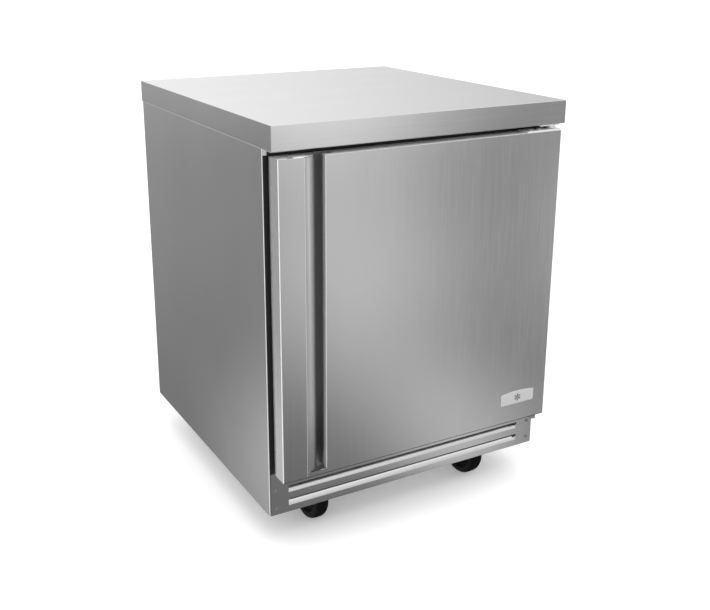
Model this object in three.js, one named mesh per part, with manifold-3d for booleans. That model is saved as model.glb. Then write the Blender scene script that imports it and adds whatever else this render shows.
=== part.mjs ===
// Undercounter refrigerator: one hinged door, stainless worktop, four swivel casters.
//
// Millimetres. x runs left to right seen from the front, z runs up from the floor, and
// y runs from the front to the back. Inside this file y is 0 at the worktop's front face;
// the last lines move the whole object so that its box is centred on the origin.

import * as THREE from "three";
import { mergeVertices } from "three/addons/utils/BufferGeometryUtils.js";
import Module from "manifold-3d";

const wasm = await Module();
wasm.setup();

// ---------------------------------------------------------------- driving dimensions

const GAP = 0.3; // clearance between two pieces that touch on the real object
const SHEET = 1.2; // stainless sheet

const TOP = { half: 349.25, depth: 749, height: 914.4, fascia: 50, bend: 2 };
const BODY = { half: 347.8, front: 45.8, back: 747.4, bottom: 81.4 };
const DOOR = { half: 338.4, front: -3.2, back: 37, bottom: 181.6, top: 850.6, bend: 1.8 };
const SLOT = { left: -282, right: -239, bottom: 190.5, lip: 31, scoop: 232 }; // handle opening
const POCKET = { floor: 36, right: -216, mouth: 13.2 }; // hollow behind the opening's right edge
const MOUTH = { half: 300, bottom: 220, top: 812 }; // storage opening
const DIKE = { half: 290, bottom: 230, top: 802, back: 60 }; // door liner's raised panel
const LINER = { back: 690, stepY: 478, stepZ: 451, front: 70.3 };
const MACHINE = { front: 520, top: 400 }; // compartment behind and under the liner's step
const BASE = { bottom: 152.4, top: 154.4 };
const HINGE = { x: 322, y: 17, pin: 4.2, bore: 4.9, shelfLow: 175.8, shelfTop: 179 };
const BADGE = { left: 211, right: 305, bottom: 224, side: 252, rise: 4.5, front: -5 };
const KICK = { top: 178.9, louvreLeft: -306, louvreRight: 302, louvreBottoms: [94.5, 125.5] };
const LOUVRE = { height: 14.5, depth: 11 };
const SCREW = { x: 333.5, heights: [98, 140] };
const SHELF = { half: 291, front: 85, back: 660, levels: { lower: 465.3, upper: 575.3 } };
const CASTER = { x: 209, frontY: 168, rearY: 626, trail: 35, wheel: 63.5, width: 32 };
const CONDENSER_FAN = { x: -195, z: 268, radius: 92 };
const EVAPORATOR_FAN = { x: 0, z: 753, radius: 54 };
const KNOB = { x: 261, y: 600, z: 755, radius: 18 };
const COMPRESSOR = { x: 185, y: 635, radius: 72 };
const RISER = { x: -262, y: 674, radius: 12 }; // hole for the refrigerant lines in the liner's step
const PEDAL_PIVOT = { y: -CASTER.trail - 30, z: CASTER.wheel + 66 };

const SKIRT_TOP = TOP.height - TOP.fascia; // underside of the worktop's fascia
const DEPTH_CENTRE = (TOP.depth + BADGE.front) / 2;

// ---------------------------------------------------------------- materials

function finish(color, roughness, metalness) {
  return new THREE.MeshStandardMaterial({ color, roughness, metalness });
}

const STEEL = finish(0xb4b6b7, 0.35, 1);
const GALVANISED = finish(0x9a9d9f, 0.5, 0.9);
const CHROME = finish(0xd5d6d8, 0.2, 1);
const ALUMINIUM = finish(0xc2c4c6, 0.4, 0.9);
const COPPER = finish(0xb5683c, 0.35, 0.9);
const BLACK_PLASTIC = finish(0x191a1b, 0.6, 0);
const RUBBER = finish(0x121212, 0.8, 0);
const WHITE_PLASTIC = finish(0xe4e5e3, 0.45, 0);
const FOAM = finish(0xd8c48c, 0.9, 0);
const BLACK_PAINT = finish(0x1f2022, 0.45, 0.3);
const GREY_COATING = finish(0x8d9093, 0.5, 0.2);

// ---------------------------------------------------------------- shape helpers

function block(x0, x1, y0, y1, z0, z1) {
  const box = new THREE.BoxGeometry(x1 - x0, y1 - y0, z1 - z0);
  return box.translate((x0 + x1) / 2, (y0 + y1) / 2, (z0 + z1) / 2);
}

// A block given for the right-hand side, or its mirror image when side is -1.
function sideBlock(side, x0, x1, y0, y1, z0, z1) {
  return side > 0 ? block(x0, x1, y0, y1, z0, z1) : block(-x1, -x0, y0, y1, z0, z1);
}

function solid(shape) {
  if (shape instanceof wasm.Manifold) return shape;
  const bare = shape.clone();
  bare.deleteAttribute("normal");
  bare.deleteAttribute("uv");
  const merged = mergeVertices(bare, 1e-3);
  return new wasm.Manifold(
    new wasm.Mesh({
      numProp: 3,
      vertProperties: new Float32Array(merged.attributes.position.array),
      triVerts: new Uint32Array(merged.index.array),
    }),
  );
}

function join(...shapes) {
  return shapes.map(solid).reduce((sum, next) => sum.add(next));
}

function cut(base, ...tools) {
  return tools.map(solid).reduce((rest, tool) => rest.subtract(tool), solid(base));
}

function common(first, second) {
  return solid(first).intersect(solid(second));
}

function polygon(points) {
  return new THREE.Shape(points.map(([u, v]) => new THREE.Vector2(u, v)));
}

function roundedRect(u0, u1, v0, v1, radius) {
  const shape = new THREE.Shape();
  shape.moveTo(u0 + radius, v0);
  shape.lineTo(u1 - radius, v0);
  shape.absarc(u1 - radius, v0 + radius, radius, -Math.PI / 2, 0);
  shape.lineTo(u1, v1 - radius);
  shape.absarc(u1 - radius, v1 - radius, radius, 0, Math.PI / 2);
  shape.lineTo(u0 + radius, v1);
  shape.absarc(u0 + radius, v1 - radius, radius, Math.PI / 2, Math.PI);
  shape.lineTo(u0, v0 + radius);
  shape.absarc(u0 + radius, v0 + radius, radius, Math.PI, 1.5 * Math.PI);
  return shape;
}

function prism(shape, length, curveSegments = 3) {
  return new THREE.ExtrudeGeometry(shape, { depth: length, bevelEnabled: false, curveSegments });
}

// shape drawn in (x, y), standing from z0 to z1
function alongZ(shape, z0, z1, curveSegments) {
  return prism(shape, z1 - z0, curveSegments).translate(0, 0, z0);
}

// shape drawn in (y, z), running from x0 to x1
function alongX(shape, x0, x1, curveSegments) {
  const turn = new THREE.Matrix4().makeBasis(
    new THREE.Vector3(0, 1, 0),
    new THREE.Vector3(0, 0, 1),
    new THREE.Vector3(1, 0, 0),
  );
  return prism(shape, x1 - x0, curveSegments).applyMatrix4(turn).translate(x0, 0, 0);
}

// shape drawn in (x, z), running from y0 to y1
function alongY(shape, y0, y1, curveSegments) {
  const turn = new THREE.Matrix4().makeBasis(
    new THREE.Vector3(1, 0, 0),
    new THREE.Vector3(0, 0, 1),
    new THREE.Vector3(0, -1, 0),
  );
  return prism(shape, y1 - y0, curveSegments).applyMatrix4(turn).translate(0, y1, 0);
}

// Closed outline of a sheet of the given thickness whose middle follows an open path.
function sheetOutline(path, thickness) {
  const left = [];
  const right = [];
  path.forEach((point, i) => {
    const before = path[Math.max(i - 1, 0)];
    const after = path[Math.min(i + 1, path.length - 1)];
    const inward = unit(before, point) ?? unit(point, after);
    const outward = unit(point, after) ?? inward;
    const normal = [-(inward[1] + outward[1]), inward[0] + outward[0]];
    const reach = thickness / 2 / ((normal[0] ** 2 + normal[1] ** 2) / 2);
    left.push([point[0] + normal[0] * reach, point[1] + normal[1] * reach]);
    right.push([point[0] - normal[0] * reach, point[1] - normal[1] * reach]);
  });
  return polygon([...right, ...left.reverse()]);
}

function unit(from, to) {
  const [du, dv] = [to[0] - from[0], to[1] - from[1]];
  const length = Math.hypot(du, dv);
  return length > 0 ? [du / length, dv / length] : null;
}

function arcPoints(cu, cv, radius, from, to, steps) {
  return Array.from({ length: steps + 1 }, (_, i) => {
    const angle = ((from + ((to - from) * i) / steps) * Math.PI) / 180;
    return [cu + radius * Math.cos(angle), cv + radius * Math.sin(angle)];
  });
}

// Turned solid: profile holds [radius, height] pairs, axis is "x", "y" or "z".
function turned(profile, axis, segments) {
  const lathe = new THREE.LatheGeometry(profile.map(([r, h]) => new THREE.Vector2(r, h)), segments);
  if (axis === "z") lathe.rotateX(Math.PI / 2);
  if (axis === "x") lathe.rotateZ(-Math.PI / 2);
  return lathe;
}

function disc(radius, h0, h1, axis, segments = 16) {
  return turned([[0, h0], [radius, h0], [radius, h1], [0, h1]], axis, segments);
}

// Round rod or pipe through the given points.
function pipe(points, radius, steps) {
  const places = points.map((point) => new THREE.Vector3(...point));
  const extrudePath = new THREE.CatmullRomCurve3(places, false, "catmullrom", 0.25);
  const section = new THREE.Shape().absarc(0, 0, radius, 0, 2 * Math.PI);
  return new THREE.ExtrudeGeometry(section, { steps, curveSegments: 3, extrudePath });
}

function rod(from, to, radius, sides = 6) {
  const start = new THREE.Vector3(...from);
  const span = new THREE.Vector3(...to).sub(start);
  const cylinder = new THREE.CylinderGeometry(radius, radius, span.length(), sides);
  const up = new THREE.Vector3(0, 1, 0);
  const turn = new THREE.Quaternion().setFromUnitVectors(up, span.clone().normalize());
  return cylinder.applyQuaternion(turn).translate(...start.addScaledVector(span, 0.5).toArray());
}

function piece(name, shape, material) {
  const { vertProperties, triVerts } = solid(shape).getMesh();
  const geometry = new THREE.BufferGeometry();
  geometry.setAttribute("position", new THREE.BufferAttribute(vertProperties, 3));
  geometry.setIndex(new THREE.BufferAttribute(triVerts, 1));
  geometry.computeVertexNormals();
  const mesh = new THREE.Mesh(geometry, material);
  mesh.name = name;
  return mesh;
}

// ---------------------------------------------------------------- cabinet

// Folded pan: top, four fascias and a strip that closes the front overhang from below.
function worktop() {
  const { half, depth, height, bend } = TOP;
  const outline = roundedRect(bend - half, half - bend, bend, depth - bend, 1);
  const slab = new THREE.ExtrudeGeometry(outline, {
    depth: TOP.fascia,
    bevelThickness: bend,
    bevelSize: bend,
    bevelSegments: 3,
    curveSegments: 2,
  }).translate(0, 0, height - TOP.fascia - bend);
  const below = block(-400, 400, -50, 800, height - TOP.fascia - 20, SKIRT_TOP);
  const hollow = block(SHEET - half, half - SHEET, 44, depth - SHEET, 800, height - SHEET);
  const front = block(SHEET - half, half - SHEET, SHEET, 50, SKIRT_TOP + SHEET, height - SHEET);
  return cut(slab, below, hollow, front);
}

// Side sheet with a hemmed front edge, a set-back screwing flange, and back and bottom returns.
function sidePanel(side) {
  const { half, front, back, bottom } = BODY;
  const plan = [
    [half, front], [half, back], [326, back], [326, back - 0.9], [half - 0.9, back - 0.9],
    [half - 0.9, front + 1], [half - 1.9, front + 1], [half - 1.9, front + 4.2], [322, front + 4.2],
    [322, front + 3.2], [half - 2.9, front + 3.2], [half - 2.9, front],
  ];
  const folded = alongZ(polygon(plan.map(([x, y]) => [side * x, y])), bottom, SKIRT_TOP - 0.5);
  const upper = sideBlock(side, half - 0.8, half - 0.1, front + 0.1, back - 0.1, SKIRT_TOP - 5, 880);
  const foot = sideBlock(side, 330, half - 0.1, front + 6, back - 0.1, bottom + 0.1, bottom + 0.9);
  const holes = SCREW.heights.map((z) =>
    disc(2.9, front, front + 6, "y", 12).translate(side * SCREW.x, 0, z),
  );
  return cut(join(folded, upper, foot), ...holes);
}

function backPanel() {
  return block(-346.3, 346.3, 745.2, 746.2, MACHINE.top + 2, 880);
}

function riserHole() {
  return disc(RISER.radius, MACHINE.top - 20, LINER.stepZ + 10, "z", 12).translate(RISER.x, RISER.y, 0);
}

// Foam that fills the walls: open at the front, cut away below for the machine compartment.
function cabinetInsulation() {
  const mass = block(-346.6, 346.6, 50.3, 744.9, BASE.top + 0.5, TOP.height - SHEET - GAP);
  const wall = 1.8;
  const store = block(
    -MOUTH.half - wall, MOUTH.half + wall, 0, LINER.back + wall, LINER.stepZ - wall, MOUTH.top + wall,
  );
  const well = block(
    -MOUTH.half - wall, MOUTH.half + wall, 0, LINER.stepY + wall, MOUTH.bottom - wall, LINER.stepZ,
  );
  const machine = block(-400, 400, MACHINE.front, 800, 100, MACHINE.top);
  return cut(mass, store, well, machine, riserHole());
}

// Inner box, open at the front, with a step over the machine compartment.
function cabinetLiner() {
  const half = MOUTH.half;
  const { front, back, stepY, stepZ } = LINER;
  const outer = join(
    block(-half - 1, half + 1, front, back + 1, stepZ - 1, MOUTH.top + 1),
    block(-half - 1, half + 1, front, stepY + 1, MOUTH.bottom - 1, stepZ),
  );
  const store = block(-half, half, 0, back, stepZ, MOUTH.top);
  const well = block(-half, half, 0, stepY, MOUTH.bottom, stepZ + 1);
  return cut(outer, store, well, riserHole());
}

// Black frame round the storage opening that the gasket seals against.
function breakerFrame() {
  const opening = block(-MOUTH.half, MOUTH.half, 0, 100, MOUTH.bottom, MOUTH.top);
  const face = block(-344.6, 344.6, BODY.front, BODY.front + 2.5, KICK.top + 0.4, SKIRT_TOP - 0.5);
  const lip = 1.5;
  const sleeve = block(
    -MOUTH.half - lip, MOUTH.half + lip, BODY.front + 1, LINER.front - GAP,
    MOUTH.bottom - lip, MOUTH.top + lip,
  );
  return cut(join(face, sleeve), opening);
}

// Floor of the body, with air slots under the condenser and a hole for the power cord.
function basePlate() {
  const floor = block(-346.6, 346.6, 50.3, 744.6, BASE.bottom, BASE.top);
  const rearFlange = block(-320, 320, 743.4, 744.6, 126, BASE.top);
  const slots = [0, 1, 2, 3, 4, 5].map((i) =>
    block(-310 + i * 38, -284 + i * 38, 600, 730, BASE.bottom - 1, BASE.top + 1),
  );
  const cordHole = disc(8, BASE.bottom - 1, BASE.top + 1, "z", 12).translate(20, 722, 0);
  return cut(join(floor, rearFlange), ...slots, cordHole);
}

// Inclined blade pressed inwards behind one louvre slot, with a three-cornered cheek at each end.
function louvreBlade(left, right, bottom) {
  const front = BODY.front;
  const top = bottom + LOUVRE.height;
  const back = front + LOUVRE.depth;
  const blade = sheetOutline([[front + 0.6, bottom - 0.6], [back, top - 1]], SHEET);
  const cheek = polygon([
    [front + 0.4, bottom - 0.4], [back, top - 1.2], [back, top + 0.4], [front + 0.4, top + 0.4],
  ]);
  return join(
    alongX(blade, left - 1, right + 1),
    alongX(cheek, left - 1, left),
    alongX(cheek, right, right + 1),
  );
}

// Louvred panel under the door. Its right-hand corner is notched for the lower hinge bracket.
function kickGrille() {
  const { front, bottom } = BODY;
  const sheet = block(-344.6, 344.6, front, front + SHEET, bottom, KICK.top);
  const lower = block(-318, 318, front, front + 10, bottom, bottom + SHEET);
  const notch = block(288.7, 350, front - 5, front + 20, 155, 200);
  const slots = KICK.louvreBottoms.map((z) =>
    block(KICK.louvreLeft, KICK.louvreRight, front - 1, front + 2, z, z + LOUVRE.height),
  );
  const blades = KICK.louvreBottoms.map((z) => louvreBlade(KICK.louvreLeft, KICK.louvreRight, z));
  const holes = [-1, 1].flatMap((side) =>
    SCREW.heights.map((z) => disc(2.9, front - 1, front + 3, "y", 12).translate(side * SCREW.x, 0, z)),
  );
  const face = cut(join(sheet, lower), notch, ...slots, ...holes);
  return join(face, ...blades);
}

function grilleScrew(side, z) {
  const head = BODY.front - GAP;
  const profile = [
    [0, head - 1.7], [2.2, head - 1.6], [3.6, head - 0.8], [4, head],
    [2.4, head], [2.4, head + 9], [0, head + 11],
  ];
  return turned(profile, "y", 12).translate(side * SCREW.x, 0, z);
}

// Louvred cover over the machine compartment at the back.
function rearGrille() {
  const sheet = block(-346.3, 346.3, 745.2, 746.2, 122, MACHINE.top + 1.6);
  const slots = [];
  for (let row = 0; row < 8; row += 1) {
    const z = 172 + row * 26;
    slots.push(block(-290, -40, 740, 750, z, z + 9));
    slots.push(block(40, 290, 740, 750, z, z + 9));
  }
  return cut(sheet, ...slots);
}

// ---------------------------------------------------------------- cooling system

function compressor() {
  const r = COMPRESSOR.radius;
  const pot = turned(
    [[0, 172], [r * 0.7, 172], [r * 0.93, 186], [r * 0.95, 250], [r, 252], [r, 262], [r * 0.95, 264],
      [r * 0.93, 310], [r * 0.74, 336], [r * 0.4, 347], [0, 350]],
    "z", 16,
  );
  const plate = alongZ(roundedRect(-90, 90, -60, 60, 12), 167, 173, 2);
  const feet = [[-74, -44], [74, -44], [-74, 44], [74, 44]].map(([x, y]) =>
    disc(10, BASE.top + GAP, 168, "z", 8).translate(x, y, 0),
  );
  const terminals = block(-96, -60, -22, 22, 215, 262);
  return join(pot, plate, ...feet, terminals).translate([COMPRESSOR.x, COMPRESSOR.y, 0]);
}

// Finned block: a solid whose grooves alternate between its front and its back.
function finnedBlock(x0, x1, y0, y1, z0, z1, fins) {
  const pitch = (x1 - x0) / fins;
  const margin = (z1 - z0) * 0.05;
  const grooves = [];
  for (let i = 1; i < fins; i += 1) {
    const x = x0 + i * pitch;
    const [from, to] = i % 2 ? [y0 - 1, y1 - 2] : [y0 + 2, y1 + 1];
    grooves.push(block(x - pitch * 0.3, x + pitch * 0.3, from, to, z0 + margin, z1 - margin));
  }
  return cut(block(x0, x1, y0, y1, z0, z1), ...grooves);
}

function condenserCoil() {
  return finnedBlock(-320, -70, 532, 584, BASE.top + GAP, 374, 18);
}

// Motor on a folded foot, with its shaft pointing forwards into the fan's hub.
function condenserFanMotor() {
  const { x, z } = CONDENSER_FAN;
  const profile = [[0, 640], [30, 640], [36, 646], [36, 684], [30, 690], [0, 690]];
  const can = turned(profile, "y", 20).translate(x, 0, z);
  const shaft = disc(3, 618, 642, "y", 10).translate(x, 0, z);
  const post = block(x - 22, x + 22, 660, 663, BASE.top + 1, z);
  const foot = block(x - 22, x + 22, 660, 696, BASE.top + GAP, BASE.top + 3);
  return join(can, shaft, post, foot);
}

// Fan with flat pitched blades on a round hub, turning about y.
function fanBlade({ x, z, radius }, front, back, blades, hub) {
  const length = back - front;
  const middle = (front + back) / 2;
  const boss = disc(hub, front, back, "y", 16);
  const wing = (i) => {
    const blade = block(-radius * 0.3, radius * 0.3, -0.8, 0.8, hub * 0.8, radius * 0.96);
    const swept = blade.rotateZ(Math.atan(length / (radius * 0.75)));
    return swept.translate(0, middle, 0).rotateY((2 * Math.PI * i) / blades);
  };
  const wings = Array.from({ length: blades }, (_, i) => wing(i));
  const bore = disc(3.8, middle - 1, back + 1, "y", 10);
  return cut(join(boss, ...wings), bore).translate([x, 0, z]);
}

// Drier on the condenser's outlet, with the thin liquid line that runs on up to the evaporator.
function filterDrier() {
  const profile = [[0, -52], [4, -50], [11, -38], [11, 38], [4, 50], [0, 52]];
  const drier = turned(profile, "x", 8).translate(-15, 715, 372);
  const inlet = [[-66, 560, 340], [-50, 600, 345], [-55, 690, 360], [-66, 713, 370], [-60, 715, 372]];
  const x = RISER.x + 6;
  const outlet = [
    [30, 715, 372], [50, 714, 378], [20, 705, 386], [-120, 690, 388], [x + 24, 680, 388],
    [x, RISER.y, 398], [x, RISER.y, 470], [x, RISER.y, 700], [x + 8, RISER.y, 722], [-205, RISER.y, 724],
  ];
  return join(drier, pipe(inlet, 3, 10), pipe(outlet, 2, 26));
}

function dischargeLine() {
  const route = [
    [118, 612, 300], [100, 600, 318], [60, 580, 350], [0, 562, 362], [-50, 560, 362], [-69.5, 560, 362],
  ];
  return pipe(route, 4, 14);
}

function suctionLine() {
  const x = RISER.x - 5;
  const route = [
    [130, 680, 330], [118, 690, 352], [80, 690, 372], [0, 680, 376], [-150, 655, 376], [x + 29, 655, 377],
    [x, 668, 392], [x, RISER.y, 410], [x, RISER.y, 470], [x, RISER.y, 740], [x + 13, RISER.y, 772],
    [-205, RISER.y, 776],
  ];
  return pipe(route, 4.5, 26);
}

function condensatePan() {
  const [floor, rim] = [BASE.top + GAP, 186];
  const tray = alongZ(roundedRect(-52, 92, 548, 690, 8), floor, rim, 2);
  const hollow = alongZ(roundedRect(-50.5, 90.5, 549.5, 688.5, 7), floor + 1.5, rim + 5, 2);
  return cut(tray, hollow);
}

// Mains cord from the compressor's terminal cover down through the base to a hanging plug.
function powerCord() {
  const route = [
    [95, 700, 236], [60, 716, 232], [26, 722, 215], [20, 722, 190], [20, 722, 150], [20, 722, 100],
  ];
  const profile = [[0, 42], [15, 42], [16, 46], [16, 66], [8, 84], [5.5, 104], [0, 105]];
  const plug = turned(profile, "z", 12);
  const blades = [-6, 6].map((x) => block(x - 0.8, x + 0.8, -3.2, 3.2, 24, 44));
  const earth = disc(2.4, 22, 44, "z", 8).translate(0, 8, 0);
  return join(pipe(route, 4, 14), join(plug, ...blades, earth).translate([20, 722, 0]));
}

function evaporatorCoil() {
  return finnedBlock(-200, 200, 640, 684, 705, 800, 18);
}

// Housing over the evaporator, open at the back, with a guarded fan opening and air slots.
function evaporatorCover() {
  const [front, back, bottom, top] = [575, 689, 695, 811];
  const shell = block(-218, 218, front, back, bottom, top);
  const hollow = block(-218 + SHEET, 218 - SHEET, front + SHEET, back + 5, bottom + SHEET, top - SHEET);
  const { x, z, radius } = EVAPORATOR_FAN;
  const opening = disc(radius, front - 5, front + 5, "y", 20).translate(x, 0, z);
  const slots = [-1, 1].flatMap((side) =>
    [720, 746, 772].map((z0) => sideBlock(side, 84, 190, front - 2, front + 4, z0, z0 + 11)),
  );
  const pipeHole = block(-230, -200, RISER.y - 8, back + 5, 716, 784);
  const rings = [0.42, 0.72].map((share) =>
    new THREE.TorusGeometry(radius * share, 1.4, 3, 14).rotateX(Math.PI / 2).translate(x, front + 1.4, z),
  );
  const bars = [[1, 0], [0, 1]].map(([u, v]) =>
    rod([x - u * radius, front + 1.4, z - v * radius], [x + u * radius, front + 1.4, z + v * radius], 1.3),
  );
  return join(cut(shell, hollow, opening, ...slots, pipeHole), ...bars, ...rings);
}

function evaporatorFanMotor() {
  const { x, z } = EVAPORATOR_FAN;
  const can = turned([[0, 610], [20, 610], [24, 614], [24, 632], [0, 632]], "y", 20).translate(x, 0, z);
  const shaft = disc(3, 594, 612, "y", 10).translate(x, 0, z);
  const bar = block(-216, 216, 626, 629, z - 6, z + 6);
  return join(can, shaft, bar);
}

function thermostat() {
  const body = alongY(roundedRect(226, 297, 718, 792, 6), KNOB.y, 686, 2);
  const shaft = disc(3, KNOB.y - 9, KNOB.y + 2, "y", 10).translate(KNOB.x, 0, KNOB.z);
  return join(body, shaft);
}

function thermostatKnob() {
  const { x, y, z, radius } = KNOB;
  const profile = [
    [0, y - 13], [radius - 4, y - 13], [radius - 2.5, y - 5],
    [radius, y - 4], [radius, y - 0.6], [0, y - 0.6],
  ];
  const skirt = turned(profile, "y", 28);
  const pointer = block(-2, 2, y - 15, y - 10, -radius + 5, radius - 5);
  const bore = disc(3.6, y - 10, y, "y", 10);
  return cut(join(skirt, pointer), bore).translate([x, 0, z]);
}

// ---------------------------------------------------------------- storage

// Two slotted uprights joined by the angle rails that carry the shelves.
function rack(side) {
  const [outer, inner] = [MOUTH.half - GAP, MOUTH.half - 5];
  const uprights = [
    sideBlock(side, inner, outer, 120, 134, MOUTH.bottom + 1, 680),
    sideBlock(side, inner, outer, 610, 624, LINER.stepZ + 1, 680),
  ];
  const rails = Object.values(SHELF.levels).flatMap((z) => [
    sideBlock(side, outer - 2, outer, 100, 645, z - 14, z - GAP),
    sideBlock(side, 280, outer, 100, 645, z - 2.3, z - GAP),
  ]);
  const notches = [];
  for (let z = 300; z < 660; z += 76.2) {
    notches.push(sideBlock(side, inner - 1, inner + 2.2, 124, 130, z, z + 8));
    if (z > LINER.stepZ + 10) notches.push(sideBlock(side, inner - 1, inner + 2.2, 614, 620, z, z + 8));
  }
  return join(cut(join(...uprights), ...notches), ...rails);
}

// Wire shelf: a round-bar border, wires from front to back and one bar under them.
function shelf(level) {
  const { half, front, back } = SHELF;
  const border = 3.5;
  const z = level + border;
  const [left, right, near, far] = [border - half, half - border, front + border, back - border];
  const frame = [
    rod([left, near - 2, z - 0.1], [left, far + 2, z - 0.1], border - 0.2),
    rod([right, near - 2, z - 0.1], [right, far + 2, z - 0.1], border - 0.2),
    rod([left - 2, near, z], [right + 2, near, z], border),
    rod([left - 2, far, z], [right + 2, far, z], border),
  ];
  const count = 17;
  const wires = Array.from({ length: count }, (_, i) => {
    const x = left + ((right - left) * (i + 1)) / (count + 1);
    return rod([x, near, z + 0.8], [x, far, z + 0.8], 2.2, 4);
  });
  const middle = (near + far) / 2;
  const brace = rod([left, middle, z - 1.6], [right, middle, z - 1.6], 2.2, 4);
  return join(...frame, brace, ...wires);
}

// ---------------------------------------------------------------- door

// Outline of a sheet whose left and right front corners are rounded bends.
function doorOutline() {
  const { half, front, back, bend } = DOOR;
  const outline = new THREE.Shape();
  outline.moveTo(half, back);
  outline.lineTo(-half, back);
  outline.lineTo(-half, front + bend);
  outline.absarc(-half + bend, front + bend, bend, Math.PI, 1.5 * Math.PI);
  outline.lineTo(half - bend, front);
  outline.absarc(half - bend, front + bend, bend, 1.5 * Math.PI, 2 * Math.PI);
  return outline;
}

// Folded front sheet: five sides, a handle slot open at the top, and a return on the slot's right edge.
function doorSkin() {
  const { half, front, back, bottom, top } = DOOR;
  const box = alongZ(doorOutline(), bottom, top, 3);
  const hollow = block(1 - half, half - 1, front + 1, back + 5, bottom + 1, top - 1);
  const slot = block(SLOT.left, SLOT.right, front - 5, front + 5, SLOT.bottom, top + 5);
  const topSlot = join(
    alongZ(pocketPlan(SLOT.right + 0.6), top - 2, top + 5),
    alongZ(sheetOutline(channelPath(), SHEET + 2 * GAP), top - 2, top + 5),
  );
  const fold = sheetOutline(
    [
      [SLOT.right + 4, front + 0.5],
      ...arcPoints(SLOT.right + 1.5, front + 2, 1.5, -90, -180, 3),
      [SLOT.right, front + 15],
    ],
    0.9,
  );
  const returnFlange = alongZ(fold, SLOT.bottom - 0.4, top - 0.1);
  const pinHoles = disc(6.2, bottom - 5, top + 5, "z", 16).translate(HINGE.x, HINGE.y, 0);
  return cut(join(cut(box, hollow, slot, topSlot), returnFlange), pinHoles);
}

// Plan of the handle pocket's sheet: a convex lip, then a pocket that runs in behind the return.
function channelPath() {
  const start = [SLOT.left + GAP, DOOR.front + SHEET / 2];
  const lipCurve = arcPoints(start[0], start[1] + SLOT.lip, SLOT.lip, -90, 0, 9);
  const { floor, right, mouth } = POCKET;
  const wall = start[0] + SLOT.lip;
  return [
    ...lipCurve,
    ...arcPoints(wall + 6, floor - 6, 6, 180, 90, 3),
    ...arcPoints(right - 8, floor - 8, 8, 90, 0, 3),
    ...arcPoints(right - 5, mouth + 5, 5, 0, -90, 3),
    [SLOT.right + 0.6, mouth],
  ];
}

// Plan of the free space in front of the pocket's sheet, up to x = right at the opening.
function pocketPlan(right) {
  const front = DOOR.front - 5;
  const opening = [[SLOT.left + GAP, front], [right, front], [right, POCKET.mouth]];
  return polygon([...opening, ...channelPath().reverse()]);
}

function handleChannel() {
  return alongZ(sheetOutline(channelPath(), SHEET), SLOT.bottom + GAP, DOOR.top - 0.2);
}

// Block that closes the pocket below: its top is a scoop that rises from the slot's lower edge.
function handleScoop() {
  const [near, far] = [DOOR.front + 1.3, POCKET.floor - 0.9];
  const [low, high] = [SLOT.bottom - 3.3, SLOT.bottom - GAP];
  const plan = cut(
    alongZ(pocketPlan(SLOT.right - 0.75), low, SLOT.scoop + 5),
    alongZ(sheetOutline(channelPath(), SHEET + 2 * GAP), low - 5, SLOT.scoop + 10),
  );
  const steps = 8;
  const surface = Array.from({ length: steps + 1 }, (_, i) => {
    const angle = (Math.PI / 2) * (i / steps);
    return [near + (far - near) * Math.sin(angle), high + (SLOT.scoop - high) * (1 - Math.cos(angle))];
  });
  const profile = polygon([[near, low], [far + 5, low], [far + 5, SLOT.scoop], ...surface.reverse()]);
  return common(plan, alongX(profile, SLOT.left - 5, POCKET.right));
}

// Foam between skin and liner, with room for the handle pocket and the hinge parts.
function doorFoam() {
  const { half, front, back, bottom, top } = DOOR;
  const slab = block(1.3 - half, half - 1.3, front + 1.3, back, bottom + 1.3, top - 1.3);
  const inset = 1.3;
  const raised = alongY(
    roundedRect(inset - DIKE.half, DIKE.half - inset, DIKE.bottom + inset, DIKE.top - inset, 12.7),
    back - 1, DIKE.back - inset,
  );
  const pocket = block(SLOT.left - 1, POCKET.right + 1.8, front - 5, 36.9, SLOT.bottom - 3.6, top + 5);
  const cartridge = disc(8.7, bottom - 5, bottom + 74, "z", 16).translate(HINGE.x, HINGE.y, 0);
  const topPin = disc(6.2, 826, top + 5, "z", 12).translate(HINGE.x, HINGE.y, 0);
  return cut(join(slab, raised), pocket, cartridge, topPin);
}

// Inner door panel: a flat flange with a raised middle that enters the storage opening.
function doorLiner() {
  const near = DOOR.back + GAP;
  const flange = block(1 - DOOR.half, DOOR.half - 1, near, near + 1, DOOR.bottom + 1, DOOR.top - 1);
  const raised = alongY(roundedRect(-DIKE.half, DIKE.half, DIKE.bottom, DIKE.top, 14), near, DIKE.back);
  const hollow = alongY(
    roundedRect(1 - DIKE.half, DIKE.half - 1, DIKE.bottom + 1, DIKE.top - 1, 13), near - 5, DIKE.back - 1,
  );
  return cut(join(flange, raised), hollow);
}

// Magnetic gasket: a rectangular ring with a folded bellows on its outside.
function doorGasket() {
  const [outer, inner] = [320, 301];
  const [near, far] = [DOOR.back + GAP + 1.3, BODY.front - GAP];
  const [low, high] = [DOOR.bottom + 18.4, DOOR.top - 18.4];
  const ring = block(-outer, outer, near, far, low, high);
  const inset = outer - inner;
  const hole = block(-inner, inner, near - 5, far + 5, low + inset, high - inset);
  const fold = block(-outer - 5, outer + 5, near + 2.4, near + 3.8, low - 5, high + 5);
  const keep = block(-outer + 4, outer - 4, near, far, low + 4, high - 4);
  return cut(ring, hole, cut(fold, keep));
}

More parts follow.
